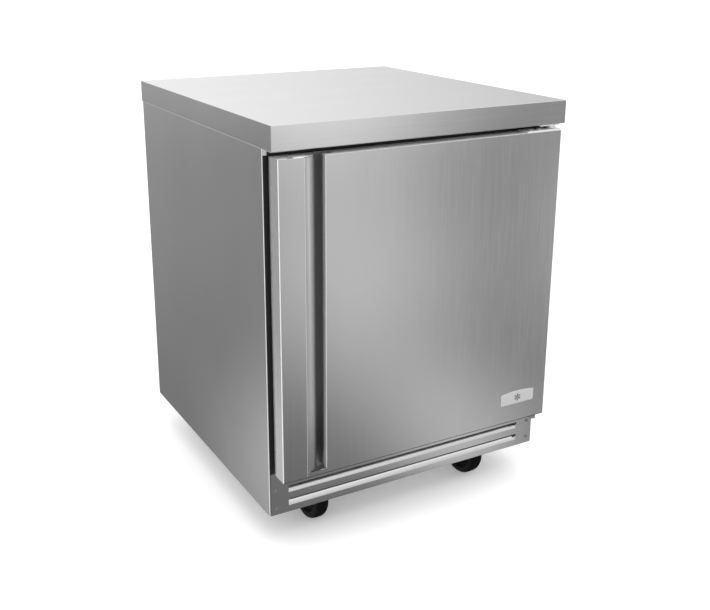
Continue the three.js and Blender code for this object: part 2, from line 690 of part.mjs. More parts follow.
// Small plate with rounded lower corners and an arched upper edge.
function badge() {
  const { left, right, bottom, side, rise, front } = BADGE;
  const radius = 5;
  const centre = (left + right) / 2;
  const plan = new THREE.Shape();
  plan.moveTo(left + radius, bottom);
  plan.lineTo(right - radius, bottom);
  plan.absarc(right - radius, bottom + radius, radius, -Math.PI / 2, 0);
  plan.lineTo(right, side);
  plan.quadraticCurveTo(centre, side + 2 * rise, left, side);
  plan.lineTo(left, bottom + radius);
  plan.absarc(left + radius, bottom + radius, radius, Math.PI, 1.5 * Math.PI);
  return alongY(plan, front, DOOR.front - GAP, 8);
}

// ---------------------------------------------------------------- hinges

// Bracket under the worktop with a boss and the upper hinge pin welded into it.
function upperHingeBracket() {
  const roof = SKIRT_TOP - GAP;
  const plate = alongZ(roundedRect(286, 337.6, 5, 44, 2), roof - 3, roof, 2);
  const boss = alongZ(roundedRect(315, 332, 8, 26, 3), 855, roof - 2, 2);
  const pin = turned([[0, 834], [3, 834], [HINGE.pin, 836], [HINGE.pin, 856], [0, 856]], "z", 16);
  return join(plate, boss, pin.translate(HINGE.x, HINGE.y, 0));
}

// Plate screwed to the door's top edge; the upper pin turns in its hole.
function doorHingePlate() {
  const base = DOOR.top + GAP;
  const plate = alongZ(roundedRect(248, 337.6, -1.5, 32, 1.5), base, base + 3.2, 2);
  const headProfile = [[0, base], [5, base], [5, base + 3.8], [3.6, base + 5], [0, base + 5.4]];
  const heads = [268, 290].map((x) => turned(headProfile, "z", 12).translate(x, 15, 0));
  const bore = disc(HINGE.bore, base - 1, base + 10, "z", 16).translate(HINGE.x, HINGE.y, 0);
  return cut(join(plate, ...heads), bore);
}

// Bracket on the front of the body whose shelf lies close under the door, with a washer on top.
function lowerHingeBracket() {
  const leg = block(289, 344.6, BODY.front, BODY.front + 2.8, 155.3, KICK.top - 0.2);
  const plan = polygon([
    [291, BODY.front + 1], [291, 9], [296, 4], [318, 4], ...arcPoints(HINGE.x, HINGE.y, 13, -90, 0, 4),
    [335, BODY.front + 1],
  ]);
  const shelfPlate = alongZ(plan, HINGE.shelfLow, HINGE.shelfTop);
  const washer = disc(9, HINGE.shelfLow + 1, DOOR.bottom - 0.5, "z", 20).translate(HINGE.x, HINGE.y, 0);
  const bore = disc(HINGE.bore - 0.3, 150, 200, "z", 16).translate(HINGE.x, HINGE.y, 0);
  return cut(join(leg, shelfPlate, washer), bore);
}

function lowerHingePin() {
  const neck = HINGE.shelfLow - GAP;
  const profile = [
    [0, neck - 3], [6.5, neck - 3], [6.5, neck], [HINGE.pin, neck], [HINGE.pin, 214], [3, 216], [0, 216],
  ];
  return turned(profile, "z", 16).translate(HINGE.x, HINGE.y, 0);
}

// Spring cartridge in the door's bottom corner that turns on the lower pin and closes the door.
function doorCloserCartridge() {
  const [low, high] = [DOOR.bottom + 1.3, DOOR.bottom + 73];
  const profile = [
    [HINGE.bore, low], [8.2, low], [8.2, high - 2], [7, high],
    [0, high], [0, 220], [HINGE.bore, 220], [HINGE.bore, low],
  ];
  return turned(profile, "z", 16).translate(HINGE.x, HINGE.y, 0);
}

// ---------------------------------------------------------------- casters
// Drawn about the stem: the stem is the z axis and the wheel trails towards -y.

function casterPlate() {
  const top = BASE.bottom - GAP;
  const outline = roundedRect(-30, 30, -46, 46, 6);
  outline.holes.push(new THREE.Path().absarc(0, 0, 9, 0, 2 * Math.PI));
  const plate = alongZ(outline, top - 3, top, 3);
  const cup = turned(
    [[7, top - 9.5], [21, top - 9.5], [24, top - 7], [24, top - 2], [7, top - 2], [7, top - 9.5]], "z", 16,
  );
  const bolts = [[-22, -38], [22, -38], [-22, 38], [22, 38]].map(([x, y]) =>
    disc(5, top - 7, top - 2, "z", 6).translate(x, y, 0),
  );
  return join(plate, cup, ...bolts);
}

function casterFork() {
  const [crownTop, crownLow] = [BASE.bottom - GAP - 10.2, BASE.bottom - GAP - 13.7];
  const axle = [-CASTER.trail, CASTER.wheel];
  const crown = alongZ(roundedRect(-23.5, 23.5, -58, 24, 12), crownLow, crownTop, 2);
  const pinTop = BASE.bottom - 1.5;
  const kingpinProfile = [
    [0, crownLow - 3], [9, crownLow - 3], [9, crownLow], [5.5, crownLow], [5.5, pinTop], [0, pinTop],
  ];
  const kingpin = turned(kingpinProfile, "z", 10);
  const legPlan = polygon([
    [-58, crownLow + 1], [22, crownLow + 1], [20, 118], [axle[0] + 12, 72],
    ...arcPoints(axle[0], axle[1], 12, 15, -195, 5), [axle[0] - 14, 90], [-58, 124],
  ]);
  const legs = [alongX(legPlan, -23.5, -20.5), alongX(legPlan, 20.5, 23.5)];
  const bolt = turned(
    [[0, -29], [7, -29], [7, -22], [4.5, -22], [4.5, 22], [7, 22], [7, 29], [0, 29]], "x", 8,
  ).translate(0, axle[0], axle[1]);
  return join(crown, kingpin, ...legs, bolt);
}

function casterWheel() {
  const [radius, half] = [CASTER.wheel, CASTER.width / 2];
  const profile = [
    [5.5, -17.5], [12, -17.5], [12, half * -0.6], [radius - 14, half * -0.6], [radius - 14, -half],
    [radius - 5, -half], [radius, half * -0.4], [radius, half * 0.4], [radius - 5, half],
    [radius - 14, half], [radius - 14, half * 0.6], [12, half * 0.6], [12, 17.5], [5.5, 17.5], [5.5, -17.5],
  ];
  return turned(profile, "x", 20).translate(0, -CASTER.trail, CASTER.wheel);
}

// Foot pedal hinged between the fork's legs; pressing it down locks the wheel.
function brakePedal() {
  const { y, z } = PEDAL_PIVOT;
  const slope = [[y + 7, z + 0.5], [y - 4, z + 1], [y - 20, z - 6], [y - 37, z - 15], [y - 42, z - 14]];
  const tread = alongX(sheetOutline(slope, 3), -19, 19);
  const barrel = disc(4.5, -20, 20, "x", 12).translate(0, y, z);
  const ribs = [0, 1, 2].map((i) => {
    const near = y - 40 + i * 6;
    return block(-16, 16, near, near + 2, z - 14 + i * 2.6, z - 9.5 + i * 2.9);
  });
  return join(tread, barrel, ...ribs);
}

function caster(label, x, y, braked) {
  const group = new THREE.Group();
  group.position.set(x, y, 0);
  group.add(piece(`caster_plate_${label}`, casterPlate(), GALVANISED));
  group.add(piece(`caster_fork_${label}`, casterFork(), GALVANISED));
  group.add(piece(`caster_wheel_${label}`, casterWheel(), RUBBER));
  if (braked) group.add(piece(`brake_pedal_${label}`, brakePedal(), BLACK_PLASTIC));
  return group;
}

// ---------------------------------------------------------------- assembly

const cabinet = new THREE.Group();
cabinet.add(
  piece("worktop", worktop(), STEEL),
  piece("side_panel_left", sidePanel(-1), STEEL),
  piece("side_panel_right", sidePanel(1), STEEL),
  piece("back_panel", backPanel(), GALVANISED),
  piece("cabinet_insulation", cabinetInsulation(), FOAM),
  piece("cabinet_liner", cabinetLiner(), ALUMINIUM),
  piece("breaker_frame", breakerFrame(), BLACK_PLASTIC),
  piece("base_plate", basePlate(), GALVANISED),
  piece("kick_grille", kickGrille(), STEEL),
  piece("grille_screw_1", grilleScrew(-1, SCREW.heights[0]), CHROME),
  piece("grille_screw_2", grilleScrew(-1, SCREW.heights[1]), CHROME),
  piece("grille_screw_3", grilleScrew(1, SCREW.heights[0]), CHROME),
  piece("grille_screw_4", grilleScrew(1, SCREW.heights[1]), CHROME),
  piece("rear_grille", rearGrille(), GALVANISED),
  piece("upper_hinge_bracket", upperHingeBracket(), CHROME),
  piece("lower_hinge_bracket", lowerHingeBracket(), STEEL),
  piece("lower_hinge_pin", lowerHingePin(), CHROME),
  piece("rack_left", rack(-1), STEEL),
  piece("rack_right", rack(1), STEEL),
  piece("shelf_lower", shelf(SHELF.levels.lower), GREY_COATING),
  piece("shelf_upper", shelf(SHELF.levels.upper), GREY_COATING),
);

const cooling = new THREE.Group();
cooling.add(
  piece("compressor", compressor(), BLACK_PAINT),
  piece("condenser_coil", condenserCoil(), ALUMINIUM),
  piece("condenser_fan_motor", condenserFanMotor(), BLACK_PAINT),
  piece("condenser_fan_blade", fanBlade(CONDENSER_FAN, 600, 628, 5, 20), BLACK_PLASTIC),
  piece("filter_drier", filterDrier(), COPPER),
  piece("discharge_line", dischargeLine(), COPPER),
  piece("suction_line", suctionLine(), COPPER),
  piece("condensate_pan", condensatePan(), BLACK_PLASTIC),
  piece("power_cord", powerCord(), RUBBER),
  piece("evaporator_coil", evaporatorCoil(), ALUMINIUM),
  piece("evaporator_cover", evaporatorCover(), WHITE_PLASTIC),
  piece("evaporator_fan_motor", evaporatorFanMotor(), BLACK_PAINT),
  piece("evaporator_fan_blade", fanBlade(EVAPORATOR_FAN, 584, 602, 4, 12), BLACK_PLASTIC),
  piece("thermostat", thermostat(), WHITE_PLASTIC),
  piece("thermostat_knob", thermostatKnob(), BLACK_PLASTIC),
);

const door = new THREE.Group();
door.add(
  piece("door_skin", doorSkin(), STEEL),
  piece("door_foam", doorFoam(), FOAM),
  piece("door_liner", doorLiner(), ALUMINIUM),
  piece("door_gasket", doorGasket(), RUBBER),
  piece("handle_channel", handleChannel(), STEEL),
  piece("handle_scoop", handleScoop(), STEEL),
  piece("badge", badge(), CHROME),
  piece("door_hinge_plate", doorHingePlate(), CHROME),
  piece("door_closer_cartridge", doorCloserCartridge(), CHROME),
);

const casters = new THREE.Group();
casters.add(
  caster("front_left", -CASTER.x, CASTER.frontY, true),
  caster("front_right", CASTER.x, CASTER.frontY, true),
  caster("rear_left", -CASTER.x, CASTER.rearY, false),
  caster("rear_right", CASTER.x, CASTER.rearY, false),
);

const refrigerator = new THREE.Group();
refrigerator.position.y = -DEPTH_CENTRE;
refrigerator.add(cabinet, cooling, door, casters);

export default refrigerator;
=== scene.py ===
"""Looks for the undercounter refrigerator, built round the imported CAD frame.

Blender's own units are metres, +Z up, and the door faces -Y. Sizes in the shapes below are
millimetres. CAD nodes whose shape is right stay, and get bevels and materials. The worktop,
side panels, kick panel, wheels, wire shelves, gasket, badge and kick panel screws are
rebuilt here and stand for their CAD nodes.
"""

import math

import bmesh
import bpy
from mathutils import Matrix, Vector


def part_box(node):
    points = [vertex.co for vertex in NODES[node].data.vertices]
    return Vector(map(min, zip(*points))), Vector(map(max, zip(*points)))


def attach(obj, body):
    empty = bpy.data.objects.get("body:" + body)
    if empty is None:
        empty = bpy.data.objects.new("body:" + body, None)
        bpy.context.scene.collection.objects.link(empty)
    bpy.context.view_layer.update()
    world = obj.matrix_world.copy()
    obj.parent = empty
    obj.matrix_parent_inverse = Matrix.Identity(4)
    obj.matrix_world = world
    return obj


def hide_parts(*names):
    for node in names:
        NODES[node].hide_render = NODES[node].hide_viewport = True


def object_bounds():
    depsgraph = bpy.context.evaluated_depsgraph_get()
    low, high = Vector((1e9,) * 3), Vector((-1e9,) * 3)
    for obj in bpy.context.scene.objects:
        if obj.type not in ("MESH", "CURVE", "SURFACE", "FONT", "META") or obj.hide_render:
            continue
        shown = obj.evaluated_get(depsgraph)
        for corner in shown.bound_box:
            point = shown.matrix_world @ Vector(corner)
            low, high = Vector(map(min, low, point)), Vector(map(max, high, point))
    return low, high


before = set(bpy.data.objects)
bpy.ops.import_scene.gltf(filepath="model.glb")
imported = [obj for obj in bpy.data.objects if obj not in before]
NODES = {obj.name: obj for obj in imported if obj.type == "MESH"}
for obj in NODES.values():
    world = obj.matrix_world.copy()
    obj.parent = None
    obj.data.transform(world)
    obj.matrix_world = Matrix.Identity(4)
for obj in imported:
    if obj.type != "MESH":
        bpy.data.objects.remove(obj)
CAD_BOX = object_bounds()

MM = 0.001
FRONT_CASTERS = ("front_left", "front_right")
CASTERS = FRONT_CASTERS + ("rear_left", "rear_right")


# ---------------------------------------------------------------- node graphs


class Graph:
    """A small builder for a material's or world's node tree."""

    def __init__(self, tree):
        self.tree = tree
        tree.nodes.clear()

    def add(self, kind, **settings):
        node = self.tree.nodes.new(kind)
        for key, value in settings.items():
            setattr(node, key, value)
        return node

    def put(self, value, socket):
        """Links an output socket, or sets a plain value."""
        if isinstance(value, bpy.types.NodeSocket):
            self.tree.links.new(value, socket)
        else:
            socket.default_value = value

    def math(self, operation, a, b=0.0, c=0.0):
        node = self.add("ShaderNodeMath", operation=operation)
        for value, socket in zip((a, b, c), node.inputs):
            self.put(value, socket)
        return node.outputs[0]

    def remap(self, value, low, high, to_low, to_high, smooth=False):
        node = self.add("ShaderNodeMapRange")
        node.interpolation_type = "SMOOTHSTEP" if smooth else "LINEAR"
        for number, item in enumerate((value, low, high, to_low, to_high)):
            self.put(item, node.inputs[number])
        return node.outputs[0]

    def mix(self, share, a, b, blend="MIX"):
        node = self.add("ShaderNodeMix", data_type="RGBA", blend_type=blend)
        self.put(share, node.inputs[0])
        self.put(a, node.inputs[6])
        self.put(b, node.inputs[7])
        return node.outputs[2]

    def coords(self, stretch=(1, 1, 1), shift=(0, 0, 0)):
        """The piece's own coordinates in metres, scaled per axis."""
        source = self.add("ShaderNodeTexCoord").outputs["Object"]
        mapping = self.add("ShaderNodeMapping")
        mapping.inputs["Scale"].default_value = stretch
        mapping.inputs["Location"].default_value = shift
        self.put(source, mapping.inputs["Vector"])
        return mapping.outputs[0]

    def noise(self, vector, scale=1.0, detail=2.0, roughness=0.5, distortion=0.0):
        node = self.add("ShaderNodeTexNoise")
        self.put(vector, node.inputs["Vector"])
        self.put(scale, node.inputs["Scale"])
        self.put(detail, node.inputs["Detail"])
        self.put(roughness, node.inputs["Roughness"])
        self.put(distortion, node.inputs["Distortion"])
        return node.outputs["Fac"]

    def bump(self, height, strength, distance):
        node = self.add("ShaderNodeBump")
        self.put(height, node.inputs["Height"])
        self.put(strength, node.inputs["Strength"])
        self.put(distance, node.inputs["Distance"])
        return node.outputs[0]

    def object_direction(self, direction):
        """A direction fixed to the piece, as the renderer's world direction."""
        node = self.add("ShaderNodeVectorTransform", vector_type="VECTOR")
        node.convert_from, node.convert_to = "OBJECT", "WORLD"
        node.inputs[0].default_value = direction
        return node.outputs[0]


def material_graph(name):
    material = bpy.data.materials.new(name)
    material.use_nodes = True
    graph = Graph(material.node_tree)
    surface = graph.add("ShaderNodeBsdfPrincipled")
    output = graph.add("ShaderNodeOutputMaterial")
    graph.put(surface.outputs[0], output.inputs["Surface"])
    return material, graph, surface


def tone(value, tint=(1.0, 1.0, 1.0)):
    return (value * tint[0], value * tint[1], value * tint[2], 1.0)


# ---------------------------------------------------------------- materials


def brushed_steel(name, grain, base=0.62, roughness=0.17, painted_light_faces=()):
    """Satin stainless sheet: fine grain lines along one axis, slow mottling, faint handling marks.

    painted_light_faces lists (direction, share): faces turned that way are painted paler, with less metal
    and more roughness, as painted light for the light that falls on them.
    """
    material, graph, surface = material_graph(name)
    fine = [700.0, 700.0, 700.0]
    fine[grain] = 9.0
    broad = [14.0, 14.0, 14.0]
    broad[grain] = 1.6
    lines = graph.noise(graph.coords(fine), detail=3.0, roughness=0.6)
    bands = graph.noise(graph.coords(broad, (3.1, 1.7, 0.4)), detail=3.0, roughness=0.55)
    cloud = graph.noise(graph.coords((2.6, 2.6, 2.6), (0.7, 0.2, 5.0)), detail=4.0, roughness=0.6)
    marks = graph.noise(graph.coords((30.0, 30.0, 30.0)), detail=5.0, roughness=0.7, distortion=0.6)
    marks = graph.remap(marks, 0.62, 0.8, 0.0, 1.0, smooth=True)
    shade = graph.math("MULTIPLY_ADD", lines, 0.5, graph.math("MULTIPLY", bands, 0.3))
    shade = graph.math("MULTIPLY_ADD", cloud, 0.2, shade)
    colour = graph.mix(shade, tone(base * 0.86), tone(base * 1.14))
    rough = graph.math("MULTIPLY_ADD", lines, 0.06, roughness - 0.04)
    rough = graph.math("MULTIPLY_ADD", cloud, 0.04, rough)
    rough = graph.math("MULTIPLY_ADD", marks, 0.05, rough)
    metallic = 1.0
    facing = graph.add("ShaderNodeTexCoord").outputs["Normal"]
    # Painted light: faces turned a listed way are mixed towards pale grey.
    for towards, share in painted_light_faces:
        dot = graph.add("ShaderNodeVectorMath", operation="DOT_PRODUCT")
        graph.put(facing, dot.inputs[0])
        dot.inputs[1].default_value = towards
        painted_light_mask = graph.remap(dot.outputs["Value"], 0.93, 0.99, 0.0, share)
        metallic = graph.math("SUBTRACT", metallic, painted_light_mask)
        rough = graph.math("MULTIPLY_ADD", painted_light_mask, 0.35, rough)
        colour = graph.mix(painted_light_mask, colour, tone(0.8))
    graph.put(metallic, surface.inputs["Metallic"])
    graph.put(colour, surface.inputs["Base Color"])
    graph.put(rough, surface.inputs["Roughness"])
    across = [1.0, 1.0, 1.0]
    across[grain] = 0.0
    surface.inputs["Anisotropic"].default_value = 0.3
    graph.put(graph.object_direction(across), surface.inputs["Tangent"])
    graph.put(graph.bump(lines, 0.05, 0.0001), surface.inputs["Normal"])
    return material


def plated_steel(name="plated_steel"):
    """Bright plated fittings with light scuffs."""
    material, graph, surface = material_graph(name)
    scuffs = graph.noise(graph.coords((260.0, 90.0, 260.0)), detail=4.0, roughness=0.65)
    cloud = graph.noise(graph.coords((40.0, 40.0, 40.0)), detail=3.0)
    graph.put(graph.mix(cloud, tone(0.66), tone(0.82)), surface.inputs["Base Color"])
    surface.inputs["Metallic"].default_value = 1.0
    graph.put(graph.math("MULTIPLY_ADD", scuffs, 0.22, 0.14), surface.inputs["Roughness"])
    graph.put(graph.bump(scuffs, 0.08, 0.0001), surface.inputs["Normal"])
    return material


def satin_zinc(name="satin_zinc", dark=0.7, pale=0.86):
    """Pale zinc plating: soft and nearly white, with a light haze."""
    material, graph, surface = material_graph(name)
    haze = graph.noise(graph.coords((60.0, 60.0, 60.0)), detail=4.0, roughness=0.6)
    scuffs = graph.noise(graph.coords((300.0, 120.0, 300.0)), detail=3.0, roughness=0.6)
    graph.put(graph.mix(haze, tone(dark), tone(pale)), surface.inputs["Base Color"])
    surface.inputs["Metallic"].default_value = 0.4
    graph.put(graph.math("MULTIPLY_ADD", scuffs, 0.2, 0.38), surface.inputs["Roughness"])
    graph.put(graph.bump(scuffs, 0.1, 0.0001), surface.inputs["Normal"])
    return material


def galvanised_steel(name="galvanised_steel"):
    """Zinc-coated sheet: angular crystal spangle, each flake at its own brightness."""
    material, graph, surface = material_graph(name)
    flakes = graph.add("ShaderNodeTexVoronoi", feature="F1")
    graph.put(graph.coords((95.0, 95.0, 95.0)), flakes.inputs["Vector"])
    flakes.inputs["Scale"].default_value = 1.0
    flakes.inputs["Randomness"].default_value = 1.0
    split = graph.add("ShaderNodeSeparateColor")
    graph.put(flakes.outputs["Color"], split.inputs[0])
    flake = split.outputs[0]
    dust = graph.noise(graph.coords((7.0, 7.0, 7.0)), detail=5.0, roughness=0.6)
    colour = graph.mix(flake, tone(0.5, (0.98, 0.99, 1.0)), tone(0.6, (0.98, 0.99, 1.0)))
    colour = graph.mix(graph.remap(dust, 0.4, 0.75, 0.0, 0.3), colour, tone(0.46))
    graph.put(colour, surface.inputs["Base Color"])
    surface.inputs["Metallic"].default_value = 0.9
    rough = graph.math("MULTIPLY_ADD", flake, 0.1, 0.36)
    graph.put(graph.math("MULTIPLY_ADD", dust, 0.15, rough), surface.inputs["Roughness"])
    graph.put(graph.bump(flake, 0.08, 0.0002), surface.inputs["Normal"])
    return material


def bare_aluminium(name="bare_aluminium", dark=0.66, pale=0.8):
    """Embossed aluminium inner sheet: a fine pebbled surface with slight haze."""
    material, graph, surface = material_graph(name)
    pebble = graph.noise(graph.coords((320.0, 320.0, 320.0)), detail=1.5)
    haze = graph.noise(graph.coords((5.0, 5.0, 5.0)), detail=4.0, roughness=0.6)
    graph.put(graph.mix(haze, tone(dark), tone(pale)), surface.inputs["Base Color"])
    surface.inputs["Metallic"].default_value = 1.0
    graph.put(graph.math("MULTIPLY_ADD", haze, 0.16, 0.32), surface.inputs["Roughness"])
    graph.put(graph.bump(pebble, 0.25, 0.0004), surface.inputs["Normal"])
    return material


def finned_aluminium(name="finned_aluminium"):
    """Coil fins: thin dark lines between bright edges, with patches of dust."""
    material, graph, surface = material_graph(name)
    wave = graph.add("ShaderNodeTexWave", wave_type="BANDS", bands_direction="X")
    graph.put(graph.coords((1.0, 1.0, 1.0)), wave.inputs["Vector"])
    wave.inputs["Scale"].default_value = 120.0
    wave.inputs["Distortion"].default_value = 0.4
    wave.inputs["Detail"].default_value = 1.0
    dust = graph.noise(graph.coords((18.0, 18.0, 18.0)), detail=5.0, roughness=0.65)
    fins = graph.mix(wave.outputs["Fac"], tone(0.2), tone(0.72))
    colour = graph.mix(graph.remap(dust, 0.5, 0.8, 0.0, 0.5), fins, tone(0.3))
    graph.put(colour, surface.inputs["Base Color"])
    surface.inputs["Metallic"].default_value = 0.85
    graph.put(graph.math("MULTIPLY_ADD", dust, 0.25, 0.3), surface.inputs["Roughness"])
    graph.put(graph.bump(wave.outputs["Fac"], 0.4, 0.0006), surface.inputs["Normal"])
    return material


def bare_copper(name="bare_copper"):
    """Drawn copper tube, patchily tarnished."""
    material, graph, surface = material_graph(name)
    tarnish = graph.noise(graph.coords((30.0, 30.0, 30.0)), detail=5.0, roughness=0.65)
    spots = graph.remap(tarnish, 0.42, 0.7, 0.0, 1.0, smooth=True)
    colour = graph.mix(spots, (0.78, 0.36, 0.2, 1.0), (0.33, 0.13, 0.07, 1.0))
    graph.put(colour, surface.inputs["Base Color"])
    surface.inputs["Metallic"].default_value = 1.0
    graph.put(graph.math("MULTIPLY_ADD", spots, 0.3, 0.2), surface.inputs["Roughness"])
    return material


def moulded(name, value, roughness, grain_scale=900.0, depth=0.25, spread=0.15, specular=0.5):
    """Moulded plastic with a fine spark-eroded grain and a slow drift in tone."""
    material, graph, surface = material_graph(name)
    grain = graph.noise(graph.coords((grain_scale,) * 3), detail=2.0)
    drift = graph.noise(graph.coords((9.0, 9.0, 9.0)), detail=3.0)
    low, high = tone(value * (1 - spread)), tone(value * (1 + spread))
    graph.put(graph.mix(drift, low, high), surface.inputs["Base Color"])
    graph.put(graph.math("MULTIPLY_ADD", drift, 0.16, roughness - 0.08), surface.inputs["Roughness"])
    surface.inputs["Specular IOR Level"].default_value = specular
    graph.put(graph.bump(grain, depth, 0.00015), surface.inputs["Normal"])
    return material


def satin_pocket(name="satin_pocket"):
    """Bead-blasted steel, greyer and softer than the brushed sheet, with painted shade darkening it towards
    its foot.
    """
    material, graph, surface = material_graph(name)
    beads = graph.noise(graph.coords((1400.0, 1400.0, 500.0)), detail=2.0)
    cloud = graph.noise(graph.coords((20.0, 20.0, 4.0)), detail=3.0)
    height = graph.add("ShaderNodeSeparateXYZ")
    graph.put(graph.coords(), height.inputs[0])
    # Painted shade: the colour darkens towards the foot of the pocket.
    foot = graph.remap(height.outputs["Z"], 0.19, 0.36, 0.6, 0.0, smooth=True)
    colour = graph.mix(foot, graph.mix(cloud, tone(0.5), tone(0.6)), tone(0.16))
    graph.put(colour, surface.inputs["Base Color"])
    surface.inputs["Metallic"].default_value = 0.85
    graph.put(graph.math("MULTIPLY_ADD", beads, 0.12, 0.26), surface.inputs["Roughness"])
    graph.put(graph.bump(beads, 0.12, 0.0001), surface.inputs["Normal"])
    return material


def tyre_rubber(name="tyre_rubber"):
    """Dark rubber with a scuffed, slightly dusty rolling face."""
    material, graph, surface = material_graph(name)
    scuff = graph.noise(graph.coords((160.0, 60.0, 60.0)), detail=5.0, roughness=0.7)
    dust = graph.noise(graph.coords((26.0, 26.0, 26.0)), detail=4.0, roughness=0.6)
    share = graph.remap(graph.math("MULTIPLY", scuff, dust), 0.22, 0.42, 0.0, 0.55, smooth=True)
    graph.put(graph.mix(share, tone(0.003), tone(0.009)), surface.inputs["Base Color"])
    graph.put(graph.math("MULTIPLY_ADD", scuff, 0.25, 0.55), surface.inputs["Roughness"])
    surface.inputs["Specular IOR Level"].default_value = 0.08
    graph.put(graph.bump(scuff, 0.3, 0.0003), surface.inputs["Normal"])
    return material


def blown_foam(name="blown_foam"):
    """Rigid insulation foam: closed cells under a yellowed skin."""
    material, graph, surface = material_graph(name)
    cells = graph.add("ShaderNodeTexVoronoi", feature="F1")
    graph.put(graph.coords((420.0, 420.0, 420.0)), cells.inputs["Vector"])
    cells.inputs["Scale"].default_value = 1.0
    patch = graph.noise(graph.coords((12.0, 12.0, 12.0)), detail=4.0)
    colour = graph.mix(patch, (0.62, 0.47, 0.22, 1.0), (0.78, 0.66, 0.4, 1.0))
    graph.put(colour, surface.inputs["Base Color"])
    surface.inputs["Roughness"].default_value = 0.9
    graph.put(graph.bump(cells.outputs["Distance"], 0.4, 0.0008), surface.inputs["Normal"])
    return material


def enamel(name, value, roughness):
    """Sprayed enamel with orange peel and a few dull patches."""
    material, graph, surface = material_graph(name)
    peel = graph.noise(graph.coords((240.0, 240.0, 240.0)), detail=1.0)
    dull = graph.noise(graph.coords((14.0, 14.0, 14.0)), detail=4.0, roughness=0.6)
    graph.put(graph.mix(dull, tone(value * 0.85), tone(value * 1.2)), surface.inputs["Base Color"])
    graph.put(graph.math("MULTIPLY_ADD", dull, 0.25, roughness - 0.1), surface.inputs["Roughness"])
    surface.inputs["Coat Weight"].default_value = 0.25
    surface.inputs["Coat Roughness"].default_value = 0.2
    graph.put(graph.bump(peel, 0.12, 0.0003), surface.inputs["Normal"])
    return material


STEEL_VERTICAL = brushed_steel("stainless_vertical_grain", grain=2)
STEEL_TOP = brushed_steel("stainless_worktop", grain=0)
STEEL_KICK = brushed_steel("stainless_kick_panel", grain=0)
# The door's upward faces, and faintly its left side, are painted paler as painted light.
STEEL_DOOR = brushed_steel("stainless_door", grain=2, painted_light_faces=(((0, 0, 1), 0.9), ((-1, 0, 0), 0.12)))
SCREW_STEEL = moulded("dull_screw_steel", 0.17, 0.5)
HUB_PLASTIC = moulded("hub_plastic", 0.004, 0.75, specular=0.05)
# Near-black for the dark hinge screws, and for painted shade in the louvres, in the door's slots and under
# its bottom edge.
SHADOW_AND_SCREW_BLACK = moulded("shadow_and_screw_black", 0.02, 0.8)
# Pale moulding for the caps on the door's top edge: its paleness is painted light for the light falling on
# the top.
PAINTED_LIGHT_TOP_CAP = moulded("painted_light_top_cap", 0.9, 0.5, grain_scale=500.0, depth=0.1, spread=0.06)
POCKET = satin_pocket()
MARK_INK = moulded("mark_ink", 0.06, 0.6)
BADGE_PLATE = moulded("badge_plate", 0.42, 0.3, grain_scale=700.0, depth=0.05, spread=0.04)
PLATED = plated_steel()
# Pale zinc for the hinge parts, also used as painted highlight on the door's folds and beside the door's
# top left.
ZINC_AND_HIGHLIGHT = satin_zinc()
# Darker zinc for the lower hinge bracket and the pocket flange, also used as painted highlight under the
# worktop's edges.
DULL_ZINC_AND_HIGHLIGHT = satin_zinc("dull_zinc_and_highlight", 0.36, 0.46)
GALVANISED = galvanised_steel()
ALUMINIUM = bare_aluminium()
# A darker copy of the liner aluminium for the door: painted shade against the stronger light on the door's
# liner.
SHADED_DOOR_ALUMINIUM = bare_aluminium("shaded_door_aluminium", 0.27, 0.33)
FINS = finned_aluminium()
COPPER = bare_copper()
BLACK_PLASTIC = moulded("black_plastic", 0.012, 0.5)
GASKET_RUBBER = moulded("gasket_rubber", 0.014, 0.6, grain_scale=500.0)
WHITE_PLASTIC = moulded("white_plastic", 0.78, 0.35, grain_scale=600.0, depth=0.1, spread=0.03)
CORD_RUBBER = moulded("cord_rubber", 0.016, 0.55, grain_scale=400.0)
TYRE = tyre_rubber()
FOAM = blown_foam()
BLACK_ENAMEL = enamel("black_enamel", 0.016, 0.35)
GREY_EPOXY = enamel("grey_epoxy", 0.3, 0.4)

NODE_MATERIALS = {
    "worktop": STEEL_TOP,
    "side_panel_left": STEEL_VERTICAL,
    "side_panel_right": STEEL_VERTICAL,
    "back_panel": GALVANISED,
    "cabinet_insulation": FOAM,
    "cabinet_liner": ALUMINIUM,
    "breaker_frame": BLACK_PLASTIC,
    "base_plate": GALVANISED,
    "kick_grille": STEEL_KICK,
    "rear_grille": GALVANISED,
    "upper_hinge_bracket": ZINC_AND_HIGHLIGHT,
    "lower_hinge_bracket": DULL_ZINC_AND_HIGHLIGHT,
    "lower_hinge_pin": PLATED,
    "rack_left": PLATED,
    "rack_right": PLATED,
    "compressor": BLACK_ENAMEL,
    "condenser_coil": FINS,
    "condenser_fan_motor": BLACK_ENAMEL,
    "condenser_fan_blade": BLACK_PLASTIC,
    "filter_drier": COPPER,
    "discharge_line": COPPER,
    "suction_line": COPPER,
    "condensate_pan": BLACK_PLASTIC,
    "power_cord": CORD_RUBBER,
    "evaporator_coil": FINS,
    "evaporator_cover": WHITE_PLASTIC,
    "evaporator_fan_motor": BLACK_ENAMEL,
    "evaporator_fan_blade": BLACK_PLASTIC,
    "thermostat": WHITE_PLASTIC,
    "thermostat_knob": BLACK_PLASTIC,
    "door_skin": STEEL_DOOR,
    "door_foam": FOAM,
    "door_liner": SHADED_DOOR_ALUMINIUM,
    "door_gasket": GASKET_RUBBER,
    "handle_channel": POCKET,
    "handle_scoop": POCKET,
    "badge": BADGE_PLATE,
    "door_hinge_plate": ZINC_AND_HIGHLIGHT,
    "door_closer_cartridge": PLATED,
    "shelf_lower": GREY_EPOXY,
    "shelf_upper": GREY_EPOXY,
}
